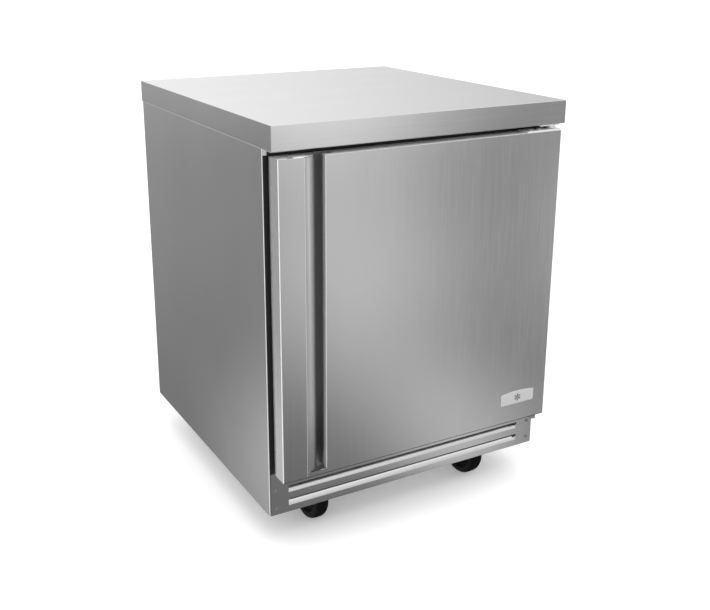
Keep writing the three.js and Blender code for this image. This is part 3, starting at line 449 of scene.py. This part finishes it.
for place in CASTERS:
    NODE_MATERIALS[f"caster_plate_{place}"] = GALVANISED
    NODE_MATERIALS[f"caster_fork_{place}"] = BLACK_ENAMEL
    NODE_MATERIALS[f"caster_wheel_{place}"] = TYRE
for place in FRONT_CASTERS:
    NODE_MATERIALS[f"brake_pedal_{place}"] = BLACK_PLASTIC
for number in range(1, 5):
    NODE_MATERIALS[f"grille_screw_{number}"] = PLATED

# Bevel width in millimetres where a CAD node's edges are rounder than a folded sheet's.
BEVELS = {
    "door_skin": 0.6,
    "cabinet_insulation": 1.5,
    "condensate_pan": 0.5,
    "thermostat": 1.0,
    "evaporator_cover": 0.4,
}
USUAL_BEVEL = 0.3
ROUNDED = ("power_cord", "filter_drier", "discharge_line", "suction_line")


def dress(name, node):
    """Merges a CAD node's split corners, bevels its edges and gives it its material."""
    node.data.materials.clear()
    node.data.materials.append(NODE_MATERIALS[name])
    if "custom_normal" in node.data.attributes:
        node.data.attributes.remove(node.data.attributes["custom_normal"])
    node.data.shade_smooth()
    weld = node.modifiers.new("weld", "WELD")
    weld.merge_threshold = 0.02 * MM
    if name in ROUNDED:
        rounding = node.modifiers.new("rounding", "SUBSURF")
        rounding.levels = rounding.render_levels = 2
    else:
        soften(node, BEVELS.get(name, USUAL_BEVEL) * MM)


def soften(piece, width):
    """Small rounded edges, with flat faces shaded flat."""
    bevel = piece.modifiers.new("bevel", "BEVEL")
    bevel.width = width
    bevel.segments = 2
    bevel.limit_method = "ANGLE"
    bevel.angle_limit = math.radians(40)
    bevel.use_clamp_overlap = True
    normals = piece.modifiers.new("normals", "WEIGHTED_NORMAL")
    normals.weight = 70
    normals.keep_sharp = False


for name, node in NODES.items():
    dress(name, node)


# ---------------------------------------------------------------- mesh shapes
# Each returns (vertices, faces) in metres. Profiles and outlines are given in millimetres.


def lathe(profile, centre, axis="z", segments=72):
    """Turns (radius, height) pairs about an axis. A closed ring has equal first and last pairs."""
    closed = profile[0] == profile[-1]
    rows = profile[:-1] if closed else profile
    vertices, rings = [], []
    for radius, height in rows:
        count = 1 if radius == 0 else segments
        rings.append(range(len(vertices), len(vertices) + count))
        for step in range(count):
            angle = 2 * math.pi * step / segments
            u, v = radius * math.cos(angle), radius * math.sin(angle)
            point = {"x": (height, u, v), "y": (v, height, u), "z": (u, v, height)}[axis]
            vertices.append(Vector(centre) + Vector(point) * MM)
    faces = []
    pairs = list(zip(rings, rings[1:])) + ([(rings[-1], rings[0])] if closed else [])
    for lower, upper in pairs:
        for step in range(segments):
            after = (step + 1) % segments
            corners = [lower[step % len(lower)], lower[after % len(lower)]]
            corners += [upper[after % len(upper)], upper[step % len(upper)]]
            faces.append(list(dict.fromkeys(corners)))
    return vertices, [face for face in faces if len(face) > 2]


def bar(start, end, radius, sides=14):
    """Round bar between two points in metres, radius in millimetres, with slightly rounded ends."""
    start, end = Vector(start), Vector(end)
    along = (end - start).normalized()
    u = along.orthogonal().normalized()
    v = along.cross(u)
    vertices = []
    for base, offset, share in ((start, 0, 0.8), (start, 0.2, 1), (end, -0.2, 1), (end, 0, 0.8)):
        for step in range(sides):
            angle = 2 * math.pi * step / sides
            ring = (u * math.cos(angle) + v * math.sin(angle)) * radius * share
            vertices.append(base + (along * radius * offset + ring) * MM)
    faces = [list(range(sides))[::-1], list(range(3 * sides, 4 * sides))]
    for row in range(3):
        for step in range(sides):
            after = (step + 1) % sides
            low = row * sides
            faces.append([low + step, low + after, low + sides + after, low + sides + step])
    return vertices, faces


def lofted(outlines):
    """Closed solid through outlines of equal length, each a list of points in metres."""
    count = len(outlines[0])
    vertices = [Vector(point) for outline in outlines for point in outline]
    last = (len(outlines) - 1) * count
    faces = [list(range(count))[::-1], list(range(last, last + count))]
    for row in range(len(outlines) - 1):
        for step in range(count):
            after = (step + 1) % count
            low = row * count
            faces.append([low + step, low + after, low + count + after, low + count + step])
    return vertices, faces


def along_x(outline, x0, x1):
    """Solid from (y, z) points in millimetres, between two x in millimetres."""
    return lofted([[(x * MM, y * MM, z * MM) for y, z in outline] for x in (x0, x1)])


def along_y(outline, y0, y1):
    return lofted([[(x * MM, y * MM, z * MM) for x, z in outline] for y in (y0, y1)])


def along_z(outline, z0, z1):
    return lofted([[(x * MM, y * MM, z * MM) for x, y in outline] for z in (z0, z1)])


def box_shape(x0, x1, y0, y1, z0, z1):
    return along_z([(x0, y0), (x1, y0), (x1, y1), (x0, y1)], z0, z1)


def arc(cx, cy, radius, start, end, steps):
    """Points on a circle, angles in degrees."""
    angles = [math.radians(start + (end - start) * step / steps) for step in range(steps + 1)]
    return [(cx + radius * math.cos(angle), cy + radius * math.sin(angle)) for angle in angles]


def sheet_strip(path, thickness):
    """Outline of a bent sheet: a path of (u, v) points thickened to its left."""
    inner = []
    for index, point in enumerate(path):
        before = Vector(path[max(index - 1, 0)])
        after = Vector(path[min(index + 1, len(path) - 1)])
        along = (after - before).normalized()
        inner.append((point[0] - along.y * thickness, point[1] + along.x * thickness))
    return list(path) + inner[::-1]


def together(*shapes):
    vertices, faces = [], []
    for shape_vertices, shape_faces in shapes:
        faces += [[index + len(vertices) for index in face] for face in shape_faces]
        vertices += shape_vertices
    return vertices, faces


def add_piece(name, shape, material, body, stands_for=(), smooth_angle=40, flat_faces=False):
    """A new piece that rides on a CAD body, smooth below an angle; flat_faces keeps big faces flat."""
    mesh = bpy.data.meshes.new(name)
    mesh.from_pydata(shape[0], [], shape[1])
    work = bmesh.new()
    work.from_mesh(mesh)
    bmesh.ops.recalc_face_normals(work, faces=work.faces)
    work.to_mesh(mesh)
    work.free()
    mesh.materials.append(material)
    mesh.shade_smooth()
    mesh.set_sharp_from_angle(angle=math.radians(smooth_angle))
    piece = bpy.data.objects.new(name, mesh)
    bpy.context.scene.collection.objects.link(piece)
    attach(piece, body)
    if stands_for:
        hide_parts(*stands_for)
    if flat_faces:
        piece.modifiers.new("normals", "WEIGHTED_NORMAL").keep_sharp = True
    return piece


# ---------------------------------------------------------------- rebuilt pieces


def wheel(place):
    """Moulded wheel: crowned tyre over a dished hub."""
    name = f"caster_wheel_{place}"
    low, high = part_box(name)
    centre = (low + high) / 2
    radius = (high.z - low.z) / 2 / MM
    hub = (high.x - low.x) / 2 / MM
    bore, web, tread, tyre_depth = 5.5, 9.6, 16.0, 16.0
    side = [
        (12.0, hub), (12.8, hub - 0.8), (13.2, web + 0.9), (14.4, web),
        (radius - 19, web), (radius - 17.6, web + 1), (radius - 15, tread - 1.4),
        (radius - 13, tread - 0.2), (radius - 6.5, tread), (radius - 3.2, tread - 1.1),
        (radius - 1.3, 12.2), (radius - 0.4, 8.5), (radius, 4.2),
    ]
    profile = [(bore, -hub)] + [(r, -h) for r, h in side] + side[::-1] + [(bore, hub), (bore, -hub)]
    piece = add_piece(f"smooth_wheel_{place}", lathe(profile, centre, "x", 96), TYRE, f"{place}_wheel",
                      [name])
    piece.data.materials.append(HUB_PLASTIC)
    for face in piece.data.polygons:
        reach = math.hypot(face.center.y - centre.y, face.center.z - centre.z)
        face.material_index = 1 if reach < (radius - tyre_depth) * MM else 0


def wire_shelf(level):
    """Epoxy-coated shelf of round wires welded to a border."""
    name = f"shelf_{level}"
    low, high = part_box(name)
    border, wire, count = 3.5, 2.1, 17
    inset = border * MM
    z = low.z + inset
    left, right, near, far = low.x + inset, high.x - inset, low.y + inset, high.y - inset
    bars = [bar((x, near, z), (x, far, z), border - 0.3) for x in (left, right)]
    bars += [bar((left - MM, y, z), (right + MM, y, z), border - 0.1) for y in (near, far)]
    for number in range(1, count + 1):
        x = left + (right - left) * number / (count + 1)
        bars.append(bar((x, near, z + 0.8 * MM), (x, far, z + 0.8 * MM), wire))
    centre, under = (near + far) / 2, z - 1.6 * MM
    bars.append(bar((left, centre, under), (right, centre, under), wire))
    add_piece(f"wire_{name}", together(*bars), GREY_EPOXY, f"{level}_shelf", [name])


def gasket():
    """Magnetic gasket: a soft bulb on a folded bellows, mitred round the door."""
    low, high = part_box("door_gasket")
    near, far = low.y / MM, high.y / MM
    fold = 5.0
    section = [
        (-19, far - 2.4), (-19, far - 0.5), (-18.6, far), (-0.9, far), (0, far - 0.9), (0, far - 2.1),
        (-2.2, far - 2.6), (-2.2, far - 3), (fold - 0.2, far - 3.2), (fold - 0.2, far - 4.3),
        (-2.4, far - 4.5), (-2.4, far - 5.1), (-1, far - 5.4), (-1, near + 0.1), (-18, near + 0.1),
        (-18, near + 1.6), (-16, near + 2), (-16, near + 4),
    ]
    rings = []
    for sx, sz in ((-1, -1), (1, -1), (1, 1), (-1, 1)):
        x = low.x if sx < 0 else high.x
        z = low.z if sz < 0 else high.z
        rings.append([(x + sx * (u - fold) * MM, v * MM, z + sz * (u - fold) * MM) for u, v in section])
    vertices, faces = lofted(rings + [rings[0]])
    total = 4 * len(section)
    faces = [[index % total for index in face] for face in faces[2:]]
    add_piece("bellows_gasket", (vertices[:total], faces), GASKET_RUBBER, "door",
              ["door_gasket"])


def badge_outline(left, right, bottom, side, rise, inset, y):
    """Plate outline with an arched upper edge, drawn inset by so many millimetres."""
    left, right, bottom, side = left + inset, right - inset, bottom + inset, side - inset
    radius = 5.0 - inset
    outline = arc(right - radius, bottom + radius, radius, -90, 0, 6)
    steps = 24
    for step in range(steps + 1):
        share = step / steps
        outline.append((right + (left - right) * share, side + rise * (1 - (2 * share - 1) ** 2)))
    outline += arc(left + radius, bottom + radius, radius, 180, 270, 6)
    return [(x * MM, y * MM, z * MM) for x, z in outline]


def badge():
    """Plate with a bevelled edge and a plain six-armed snowflake."""
    low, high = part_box("badge")
    left, right, bottom, top = low.x / MM, high.x / MM, low.z / MM, high.z / MM
    front, back = low.y / MM, high.y / MM
    rise = 4.5
    layers = [(0.0, back), (0.0, front + 1.3), (2.2, front + 0.4), (2.8, front + 0.22), (3.4, front + 0.2)]
    outlines = [badge_outline(left, right, bottom, top - rise, rise, inset, y) for inset, y in layers]
    add_piece("arched_badge", lofted(outlines), BADGE_PLATE, "door", ["badge"],
              smooth_angle=60)
    middle_x, middle_z = (left + right) / 2, (bottom + top) / 2 - 0.5

    def stroke(start, end, width):
        """Flat bar on the plate between two (x, z) points measured from the snowflake's middle."""
        (x0, z0), (x1, z1) = start, end
        half = width / 2 / math.hypot(x1 - x0, z1 - z0)
        across_x, across_z = (z0 - z1) * half, (x1 - x0) * half
        corners = [(x0 - across_x, z0 - across_z), (x1 - across_x, z1 - across_z),
                   (x1 + across_x, z1 + across_z), (x0 + across_x, z0 + across_z)]
        outline = [(middle_x + x, middle_z + z) for x, z in corners]
        return along_y(outline, front + 0.25, front + 0.02)

    strokes = []
    arm_start, arm_end, branch, spread = 0.8, 9.2, 2.7, 52
    for number in range(6):
        turn = 60 * number + 30
        x, z = math.cos(math.radians(turn)), math.sin(math.radians(turn))
        strokes.append(stroke((x * arm_start, z * arm_start), (x * arm_end, z * arm_end), 1.3))
        for reach in (4.2, 6.6):
            for angle in (math.radians(turn - spread), math.radians(turn + spread)):
                root = (x * reach, z * reach)
                tip = (root[0] + branch * math.cos(angle), root[1] + branch * math.sin(angle))
                strokes.append(stroke(root, tip, 0.9))
    add_piece("badge_snowflake", together(*strokes), MARK_INK, "door")


def worktop():
    """Folded worktop with a rolled hem, crisp welded corners and a closed front overhang."""
    low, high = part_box("worktop")
    left, right, front, back = (value / MM for value in (low.x, high.x, low.y, high.y))
    bottom, top = low.z / MM, high.z / MM
    overhang = 44.0

    def ring(inset, z, front_inset=None):
        """Outline at one height, drawn in from the sides, with small rounded corners."""
        corner = 0.6
        depth = inset if front_inset is None else front_inset
        x0, x1, y0, y1 = left + inset, right - inset, front + depth, back - inset
        places = (
            (x1 - corner, y0 + corner, -90), (x1 - corner, y1 - corner, 0),
            (x0 + corner, y1 - corner, 90), (x0 + corner, y0 + corner, 180),
        )
        outline = []
        for x, y, start in places:
            outline += arc(x, y, corner, start, start + 90, 2)
        return [(x * MM, y * MM, z * MM) for x, y in outline]

    hem, edge = 1.6, 1.0
    rings = [ring(2 * hem, top - 1.5, overhang), ring(2 * hem, bottom + 0.4, overhang)]
    rings.append(ring(3.0, bottom, overhang))
    rings += [ring(inset, z) for inset, z in arc(hem, bottom + hem, hem, 270, 180, 4)]
    rings += [ring(inset, z) for inset, z in arc(edge, top - edge, edge, 180, 90, 4)]
    add_piece("folded_worktop", lofted(rings), STEEL_TOP, "cabinet", ["worktop"],
              flat_faces=True)
    # Pale strips under the worktop's side and back edges: painted highlight for the bright line along its
    # lower edge.
    width, proud, clear = 1.4, 0.03, 1.5
    heights = (bottom + 0.05, bottom + 1.05)
    edge_highlights = [
        box_shape(left + proud, left + width, front + clear, back - clear, *heights),
        box_shape(right - width, right - proud, front + clear, back - clear, *heights),
        box_shape(left + clear, right - clear, back - width, back - proud, *heights),
    ]
    add_piece("worktop_edge_highlights", together(*edge_highlights), DULL_ZINC_AND_HIGHLIGHT, "cabinet")


def side_panel(side, name):
    """Side sheet with a round hem at its front edge and a fold at the back."""
    low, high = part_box(name)
    half = max(abs(low.x), abs(high.x)) / MM
    front, back, bottom = low.y / MM, high.y / MM, low.z / MM
    lap_top = high.z / MM
    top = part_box("worktop")[0].z / MM - 0.5
    sheet, hem = 0.9, 1.45
    back_flange, front_flange, foot_flange = 326, 322, 330
    plan = arc(half - 1.2, back - 1.2, 1.2, 0, 90, 4)
    plan += [(back_flange, back), (back_flange, back - sheet), (half - 1.2, back - sheet)]
    plan += [(half - sheet, back - 1.2), (half - sheet, front + 3.0), (half - 1.0, front + 4.2)]
    plan += [(front_flange, front + 4.2), (front_flange, front + 3.2), (half - 2 * hem, front + 3.2)]
    plan += arc(half - hem, front + hem, hem, -180, 0, 8)
    shapes = [along_z([(side * x, y) for x, y in plan], bottom, top)]
    lap = sorted((side * (half - 0.8), side * (half - 0.1)))
    shapes.append(box_shape(*lap, front + 0.1, back - 0.1, top + 0.02, lap_top))
    foot = sorted((side * foot_flange, side * (half - 0.95)))
    shapes.append(box_shape(*foot, front + 6, back - 1, bottom + 0.1, bottom + 0.9))
    add_piece(name.replace("side_", "hemmed_side_"), together(*shapes), STEEL_VERTICAL, "cabinet",
              [name], flat_faces=True)


def kick_panel():
    """Panel with two pressed louvres whose blades curve inwards and upwards, and dark strips of painted
    shade in the slots.
    """
    low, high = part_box("kick_grille")
    left, right, bottom, top = low.x / MM, high.x / MM, low.z / MM, high.z / MM
    front = low.y / MM
    back = front + 1.2
    slot_left, slot_right, slot_height = -303.5, 302, 14.5
    notch_left, notch_bottom = 288.7, 155
    flange_half, flange_back = 318, front + 10
    lower_bends = ((2.5, 4.3), (3.1, 3.9), (3.6, 3.5), (2.5, 1.7))
    upper_bends = ((2.6, 4.3), (3.2, 3.8), (3.9, 3.4), (2.6, 2.1))
    shapes, dark_strips = [], []
    start = bottom
    for slot, bends in ((bottom + 16, lower_bends), (bottom + 47, upper_bends)):
        path = [(front, start), (front, slot - 1.2), (front + 0.25, slot - 0.4), (front + 0.8, slot + 0.4)]
        for inwards, up in bends:
            path.append((path[-1][0] + inwards, path[-1][1] + up))
        shapes.append(along_x(sheet_strip(path, front - back), slot_left, slot_right))
        start = slot + slot_height
        edge = start - 0.1
        # Painted shade: a thin dark strip under each slot's top edge, widening into the slot's shaded right
        # end.
        dark_strips.append(along_y([
            (slot_left + 2, edge), (slot_left + 14, edge - 1.0), (slot_right - 5, edge - 1.5),
            (slot_right - 2.5, edge - 6.5), (slot_right - 0.2, edge - 7.5), (slot_right - 0.2, edge),
        ], front + 0.4, front + 1.0))
    shapes += [
        box_shape(slot_left, notch_left, front, back, start, top),
        box_shape(notch_left + 0.01, slot_right, front, back, start, notch_bottom),
        box_shape(left, slot_left - 0.01, front, back, bottom, top),
        box_shape(slot_right + 0.01, right, front, back, bottom, notch_bottom),
        box_shape(-flange_half, flange_half, back + 0.01, flange_back, bottom, bottom + back - front),
    ]
    add_piece("louvred_kick_panel", together(*shapes), STEEL_KICK, "cabinet",
              ["kick_grille"], flat_faces=True)
    add_piece("louvre_painted_shadows", together(*dark_strips), SHADOW_AND_SCREW_BLACK, "cabinet")


def door_trim():
    """Caps on the door's top edge, made pale as painted light; dark strips of painted shade in its slots
    and under its bottom edge, and a dark seam; pale bars along the sheet's folded edges as painted
    highlights; pocket flange.
    """
    low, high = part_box("door_skin")
    left, right, front, bottom, top = (value / MM for value in (low.x, high.x, low.y, low.z, high.z))
    strip_right = left + 56.4
    pocket_right = strip_right + 43
    # The caps stand for real end caps; their pale tone is painted light for the light on the door's top
    # edge.
    cap_front, cap_back, cap_bottom = front + 1.6, front + 25, top + 0.05
    caps = [
        box_shape(strip_right - 22, strip_right - 1.5, cap_front, cap_back, cap_bottom, top + 0.9),
        box_shape(strip_right + 0.5, strip_right + 9, cap_front + 3, cap_back, cap_bottom, top + 0.9),
    ]
    add_piece("lit_strip_top_cap", together(*caps), PAINTED_LIGHT_TOP_CAP, "door")
    proud, sunk = front - 0.12, front + 0.4
    # Dark strips: painted shade in the slot at the strip's top end, at the pocket's foot and under the
    # door's bottom edge; the second one is a dark seam at the strip's foot.
    dark_strips = [
        box_shape(strip_right - 33, strip_right - 22.5, front + 4.6, front + 8.1, cap_bottom, top + 0.6),
        box_shape(strip_right - 0.5, strip_right + 0.3, proud, sunk, bottom + 0.8, bottom + 8.8),
        box_shape(strip_right + 6, strip_right + 28, proud, sunk, bottom + 9.0, bottom + 10.4),
        box_shape(left + 1.5, right - 1.5, front + 0.1, front + 1.3, bottom - 1.4, bottom - 0.05),
    ]
    add_piece("strip_seams_and_shade", together(*dark_strips), SHADOW_AND_SCREW_BLACK, "door")
    # Pale round bars along the sheet's folded edges: painted highlights for the bright lines the folds
    # catch.
    fold_highlights = []
    # (x, foot above the door's bottom, radius)
    for x, foot, radius in (
        (left + 0.9, 1.0, 1.0), (strip_right - 0.9, 1.0, 0.55), (pocket_right + 0.9, 10.0, 1.0),
        (right - 0.9, 1.0, 1.0),
    ):
        start = Vector((x, front + radius - 0.1, bottom + foot)) * MM
        fold_highlights.append(bar(start, (start.x, start.y, (top - 0.9) * MM), radius))
    add_piece("door_fold_highlights", together(*fold_highlights), ZINC_AND_HIGHLIGHT, "door")
    flange = box_shape(pocket_right - 0.9, pocket_right - 0.1, front + 1.2, front + 9, bottom + 10, top - 1)
    add_piece("pocket_flange", flange, DULL_ZINC_AND_HIGHLIGHT, "door")


def cabinet_trim():
    """Pale plate beside the door's top left, a painted highlight on the side panel's folded corner, and the
    nut under the lower hinge.
    """
    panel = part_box("side_panel_left")[0] / MM
    under_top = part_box("worktop")[0].z / MM
    # Painted highlight: a pale plate for the bright spot on the side panel's folded corner.
    corner = box_shape(panel.x + 1.5, panel.x + 9.5, panel.y - 0.3, panel.y + 0.6, under_top - 13,
                       under_top - 0.4)
    add_piece("top_corner_highlight", corner, ZINC_AND_HIGHLIGHT, "cabinet")
    low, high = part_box("lower_hinge_pin")
    x, y, z = (low.x + high.x) / 2 / MM, (low.y + high.y) / 2 / MM - 2, low.z / MM
    radius, height = 8.0, 8.0
    nut = along_z(arc(x, y, radius, 0, 300, 5), z - height, z - 0.3)
    add_piece("hinge_pin_nut", nut, SCREW_STEEL, "cabinet")


def thermostat_dial():
    """White line on the knob's grip, and a ring of ticks on the thermostat's face round it."""
    low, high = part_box("thermostat_knob")
    x, z = (low.x + high.x) / 2 / MM, (low.z + high.z) / 2 / MM
    radius, front, face = (high.x - low.x) / 2 / MM, low.y / MM, high.y / MM + 0.6
    line = box_shape(x - 0.5, x + 0.5, front - 0.1, front + 0.3, z + 3, z + radius - 5.6)
    add_piece("knob_line", line, WHITE_PLASTIC, "thermostat_dial")
    tick_start, tick_end, half = radius + 2.5, radius + 5.5, 0.45
    ticks = []
    for number in range(8):
        angle = math.radians(230 - 40 * number)
        c, s = math.cos(angle), math.sin(angle)
        corners = [(tick_start, -half), (tick_end, -half), (tick_end, half), (tick_start, half)]
        outline = [(x + out * c - aside * s, z + out * s + aside * c) for out, aside in corners]
        ticks.append(along_y(outline, face - 0.15, face + 0.05))
    add_piece("dial_ticks", together(*ticks), MARK_INK, "cabinet")


def screw_head(name, centre, facing, radius, height, material, stands_for=(), length=0.3):
    """Pan head with a cross recess, facing -y (facing -1) or +y (1), on a short shank."""
    segments, rows = 48, 10
    recess_width, recess_reach, recess_depth = radius * 0.13, radius * 0.62, height * 0.62
    vertices, faces = [], []
    for row in range(1, rows + 1):
        share = row / rows
        for step in range(segments):
            angle = 2 * math.pi * step / segments
            x, z = radius * share * math.cos(angle), radius * share * math.sin(angle)
            lift = height * (1 - 0.55 * share ** 3)
            if min(abs(x), abs(z)) < recess_width and radius * share < recess_reach:
                lift -= recess_depth
            vertices.append((x, lift, z))
    for rim, lift in ((radius, 0.0), (radius * 0.55, 0.0), (radius * 0.55, -length)):
        for step in range(segments):
            angle = 2 * math.pi * step / segments
            vertices.append((rim * math.cos(angle), lift, rim * math.sin(angle)))
    last = len(vertices) - segments
    for low in range(0, last, segments):
        for step in range(segments):
            after = (step + 1) % segments
            faces.append([low + step, low + after, low + segments + after, low + segments + step])
    hub = len(vertices)
    vertices.append((0, height - recess_depth, 0))
    for step in range(segments):
        faces.append([hub, (step + 1) % segments, step])
    faces.append([last + step for step in range(segments)])
    placed = [Vector(centre) + Vector((x, facing * y, z)) * MM for x, y, z in vertices]
    add_piece(name, (placed, faces), material, "cabinet", stands_for, smooth_angle=30)


def kick_panel_screws():
    """Heads and shanks of the kick panel's four screws."""
    for number in range(1, 5):
        node = f"grille_screw_{number}"
        low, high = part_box(node)
        centre = ((low.x + high.x) / 2, low.y + 1.7 * MM, (low.z + high.z) / 2)
        screw_head(f"cross_screw_{number}", centre, -1, 4.0, 1.6, SCREW_STEEL, [node], length=8.0)


def hinge_plate_screws():
    """Small dark screws along the hinge plate on the door's top edge."""
    low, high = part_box("door_hinge_plate")
    head = [(0, 0.05), (2.4, 0.05), (2.4, 1.2), (2.0, 1.6), (0.9, 1.6), (0.7, 0.9), (0, 0.9)]
    # (millimetres from the plate's left end, share of its depth)
    for number, (along, share) in enumerate(((30, 0.4), (42, 0.45), (55, 0.4), (70, 0.55)), start=1):
        place = (low.x + along * MM, low.y + (high.y - low.y) * share, high.z)
        add_piece(f"hinge_screw_{number}", lathe(head, place, "z", 24), SHADOW_AND_SCREW_BLACK, "door")


def rear_screws():
    """Pan heads round the louvred rear cover and up the edges of the back panel."""
    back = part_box("rear_grille")[1].y + 0.02 * MM
    edge = 336
    cover_heights, panel_heights = (135, 260, 386), (430, 560, 690, 820)
    places = [(side * edge, z) for side in (-1, 1) for z in cover_heights]
    places += [(0, z) for z in (cover_heights[0], cover_heights[-1])]
    places += [(side * edge, z) for side in (-1, 1) for z in panel_heights]
    for number, (x, z) in enumerate(places, start=1):
        screw_head(f"rear_screw_{number}", (x * MM, back, z * MM), 1, 4.2, 1.0, PLATED)


worktop()
side_panel(-1, "side_panel_left")
side_panel(1, "side_panel_right")
kick_panel()
door_trim()
cabinet_trim()
thermostat_dial()
hinge_plate_screws()
rear_screws()
for place in CASTERS:
    wheel(place)
for level in ("lower", "upper"):
    wire_shelf(level)
gasket()
badge()
kick_panel_screws()


# ---------------------------------------------------------------- stage


def studio_floor():
    """Pale paper floor just under the wheels. It glows a little, as a lit studio sweep does."""
    mesh = bpy.data.meshes.new("floor")
    reach = 30.0
    corners = [(-reach, -reach, 0), (reach, -reach, 0), (reach, reach, 0), (-reach, reach, 0)]
    mesh.from_pydata(corners, [], [(0, 1, 2, 3)])
    floor = bpy.data.objects.new("floor", mesh)
    floor.location.z = -0.5 * MM
    bpy.context.scene.collection.objects.link(floor)
    material, graph, surface = material_graph("studio_floor")
    paper = graph.noise(graph.coords((3.0, 3.0, 3.0)), detail=3.0)
    graph.put(graph.mix(paper, tone(0.9), tone(0.92)), surface.inputs["Base Color"])
    surface.inputs["Roughness"].default_value = 0.9
    surface.inputs["Specular IOR Level"].default_value = 0.1
    surface.inputs["Emission Color"].default_value = tone(1.0)
    surface.inputs["Emission Strength"].default_value = 0.2
    mesh.materials.append(material)
    floor.visible_glossy = False


def direction(azimuth, elevation):
    """Unit vector: azimuth 0 is +Y, 90 is +X; elevation above the horizon, both in degrees."""
    a, e = math.radians(azimuth), math.radians(elevation)
    return (math.sin(a) * math.cos(e), math.cos(a) * math.cos(e), math.sin(e))


# What the metal mirrors, in degrees and brightness. The dome grows from dark below to bright above.
MIRRORED_HORIZON = {"low": 0.38, "high": 0.95, "from": -4, "to": 14}
# Soft lights and dark flags: (azimuth, elevation, inner degrees, outer degrees, brightness added)
MIRRORED = (
    (10, 6, 5, 41, 0.62),  # bright wall behind, mirrored by the worktop
    (153, -1, 0, 15.5, 2.0),  # leaning strip light in front, in four parts
    (150.5, -18, 0, 11, 1.0),
    (143, -27.5, 0, 6, 1.2),
    (147, -24.5, 0, 5, 0.3),
    (140, -28, 0, 36, -0.2),  # dark flag behind it
    (124.5, -15, 0, 17, 1.7),  # second light, past the door's right edge
    (-31, -28.5, 0, 9.5, 1.1),  # pale floor at the left
    (-17, -30.5, 0, 15.5, -0.22),  # darker floor beside it
    (-23, -5, 0, 7, 0.37),  # faint light above it
    (8, -33, 5, 17, 1.5),  # floor beyond, caught by the worktop's hem
    (280, -15, 28, 46, 2.4),  # window at the left, caught by the rounded corners
    (225, -22, 0, 32, 0.2),  # soft fills round the sides and back
    (48, -22, 0, 32, 0.2),
    (90, -4, 0, 34, 0.25),
    (125, 62, 15, 50, 1.0),  # overhead light, caught by the louvres
    (60, -75, 10, 45, -0.2),  # shadow under the object
)
FILL = 1.5  # light on everything that scatters


def studio_world():
    """Even light for what scatters, the mirrored dome for what shines, white for the camera."""
    world = bpy.data.worlds.new("studio")
    bpy.context.scene.world = world
    world.use_nodes = True
    graph = Graph(world.node_tree)
    ray = graph.add("ShaderNodeTexCoord").outputs["Generated"]
    split = graph.add("ShaderNodeSeparateXYZ")
    graph.put(ray, split.inputs[0])
    low, high = (math.sin(math.radians(MIRRORED_HORIZON[key])) for key in ("from", "to"))
    total = graph.remap(
        split.outputs["Z"], low, high, MIRRORED_HORIZON["low"], MIRRORED_HORIZON["high"], smooth=True
    )
    for azimuth, elevation, inner, outer, gain in MIRRORED:
        dot = graph.add("ShaderNodeVectorMath", operation="DOT_PRODUCT")
        graph.put(ray, dot.inputs[0])
        dot.inputs[1].default_value = direction(azimuth, elevation)
        angle = graph.math("ARCCOSINE", graph.math("MINIMUM", dot.outputs["Value"], 1.0))
        spot = graph.remap(angle, math.radians(outer), math.radians(inner), 0.0, gain, smooth=True)
        total = graph.math("ADD", spot, total)
    path = graph.add("ShaderNodeLightPath")
    beyond_fill = graph.math("SUBTRACT", total, FILL)
    strength = graph.math("MULTIPLY_ADD", path.outputs["Is Glossy Ray"], beyond_fill, FILL)
    strength = graph.math("MAXIMUM", strength, path.outputs["Is Camera Ray"])
    background = graph.add("ShaderNodeBackground")
    graph.put(strength, background.inputs["Strength"])
    output = graph.add("ShaderNodeOutputWorld")
    graph.put(background.outputs[0], output.inputs["Surface"])


def area_light(name, azimuth, elevation, distance, size, power):
    """A soft light aimed at the middle of the object; metal doesn't mirror it."""
    light = bpy.data.lights.new(name, "AREA")
    light.shape, light.size, light.energy = "DISK", size, power
    lamp = bpy.data.objects.new(name, light)
    target = (CAD_BOX[0] + CAD_BOX[1]) / 2
    lamp.location = target + Vector(direction(azimuth, elevation)) * distance
    lamp.rotation_euler = (target - lamp.location).to_track_quat("-Z", "Y").to_euler()
    lamp.visible_glossy = False
    lamp.visible_camera = False
    bpy.context.scene.collection.objects.link(lamp)


CAMERA = {"place": (-1.0949, -1.9803, 1.2136), "azimuth": 29.324, "elevation": -17.092, "roll": 0.161}
LENS = {"sensor_width": 36.0, "lens": 49.737, "shift_x": 0.0122, "shift_y": -0.0704}


def studio_camera():
    """Camera with a slightly lowered lens, so that upright edges lean less."""
    data = bpy.data.cameras.new("camera")
    for setting, value in LENS.items():
        setattr(data, setting, value)
    camera = bpy.data.objects.new("camera", data)
    bpy.context.scene.collection.objects.link(camera)
    look = Vector(direction(CAMERA["azimuth"], CAMERA["elevation"]))
    roll = Matrix.Rotation(math.radians(CAMERA["roll"]), 3, "Z")
    camera.rotation_euler = (look.to_track_quat("-Z", "Y").to_matrix() @ roll).to_euler()
    camera.location = CAMERA["place"]
    bpy.context.scene.camera = camera


studio_floor()
studio_world()
area_light("overhead_softbox", azimuth=200, elevation=62, distance=3.2, size=2.6, power=30)
studio_camera()
bpy.context.scene.view_settings.view_transform = "Standard"
bpy.context.scene.view_settings.look = "None"
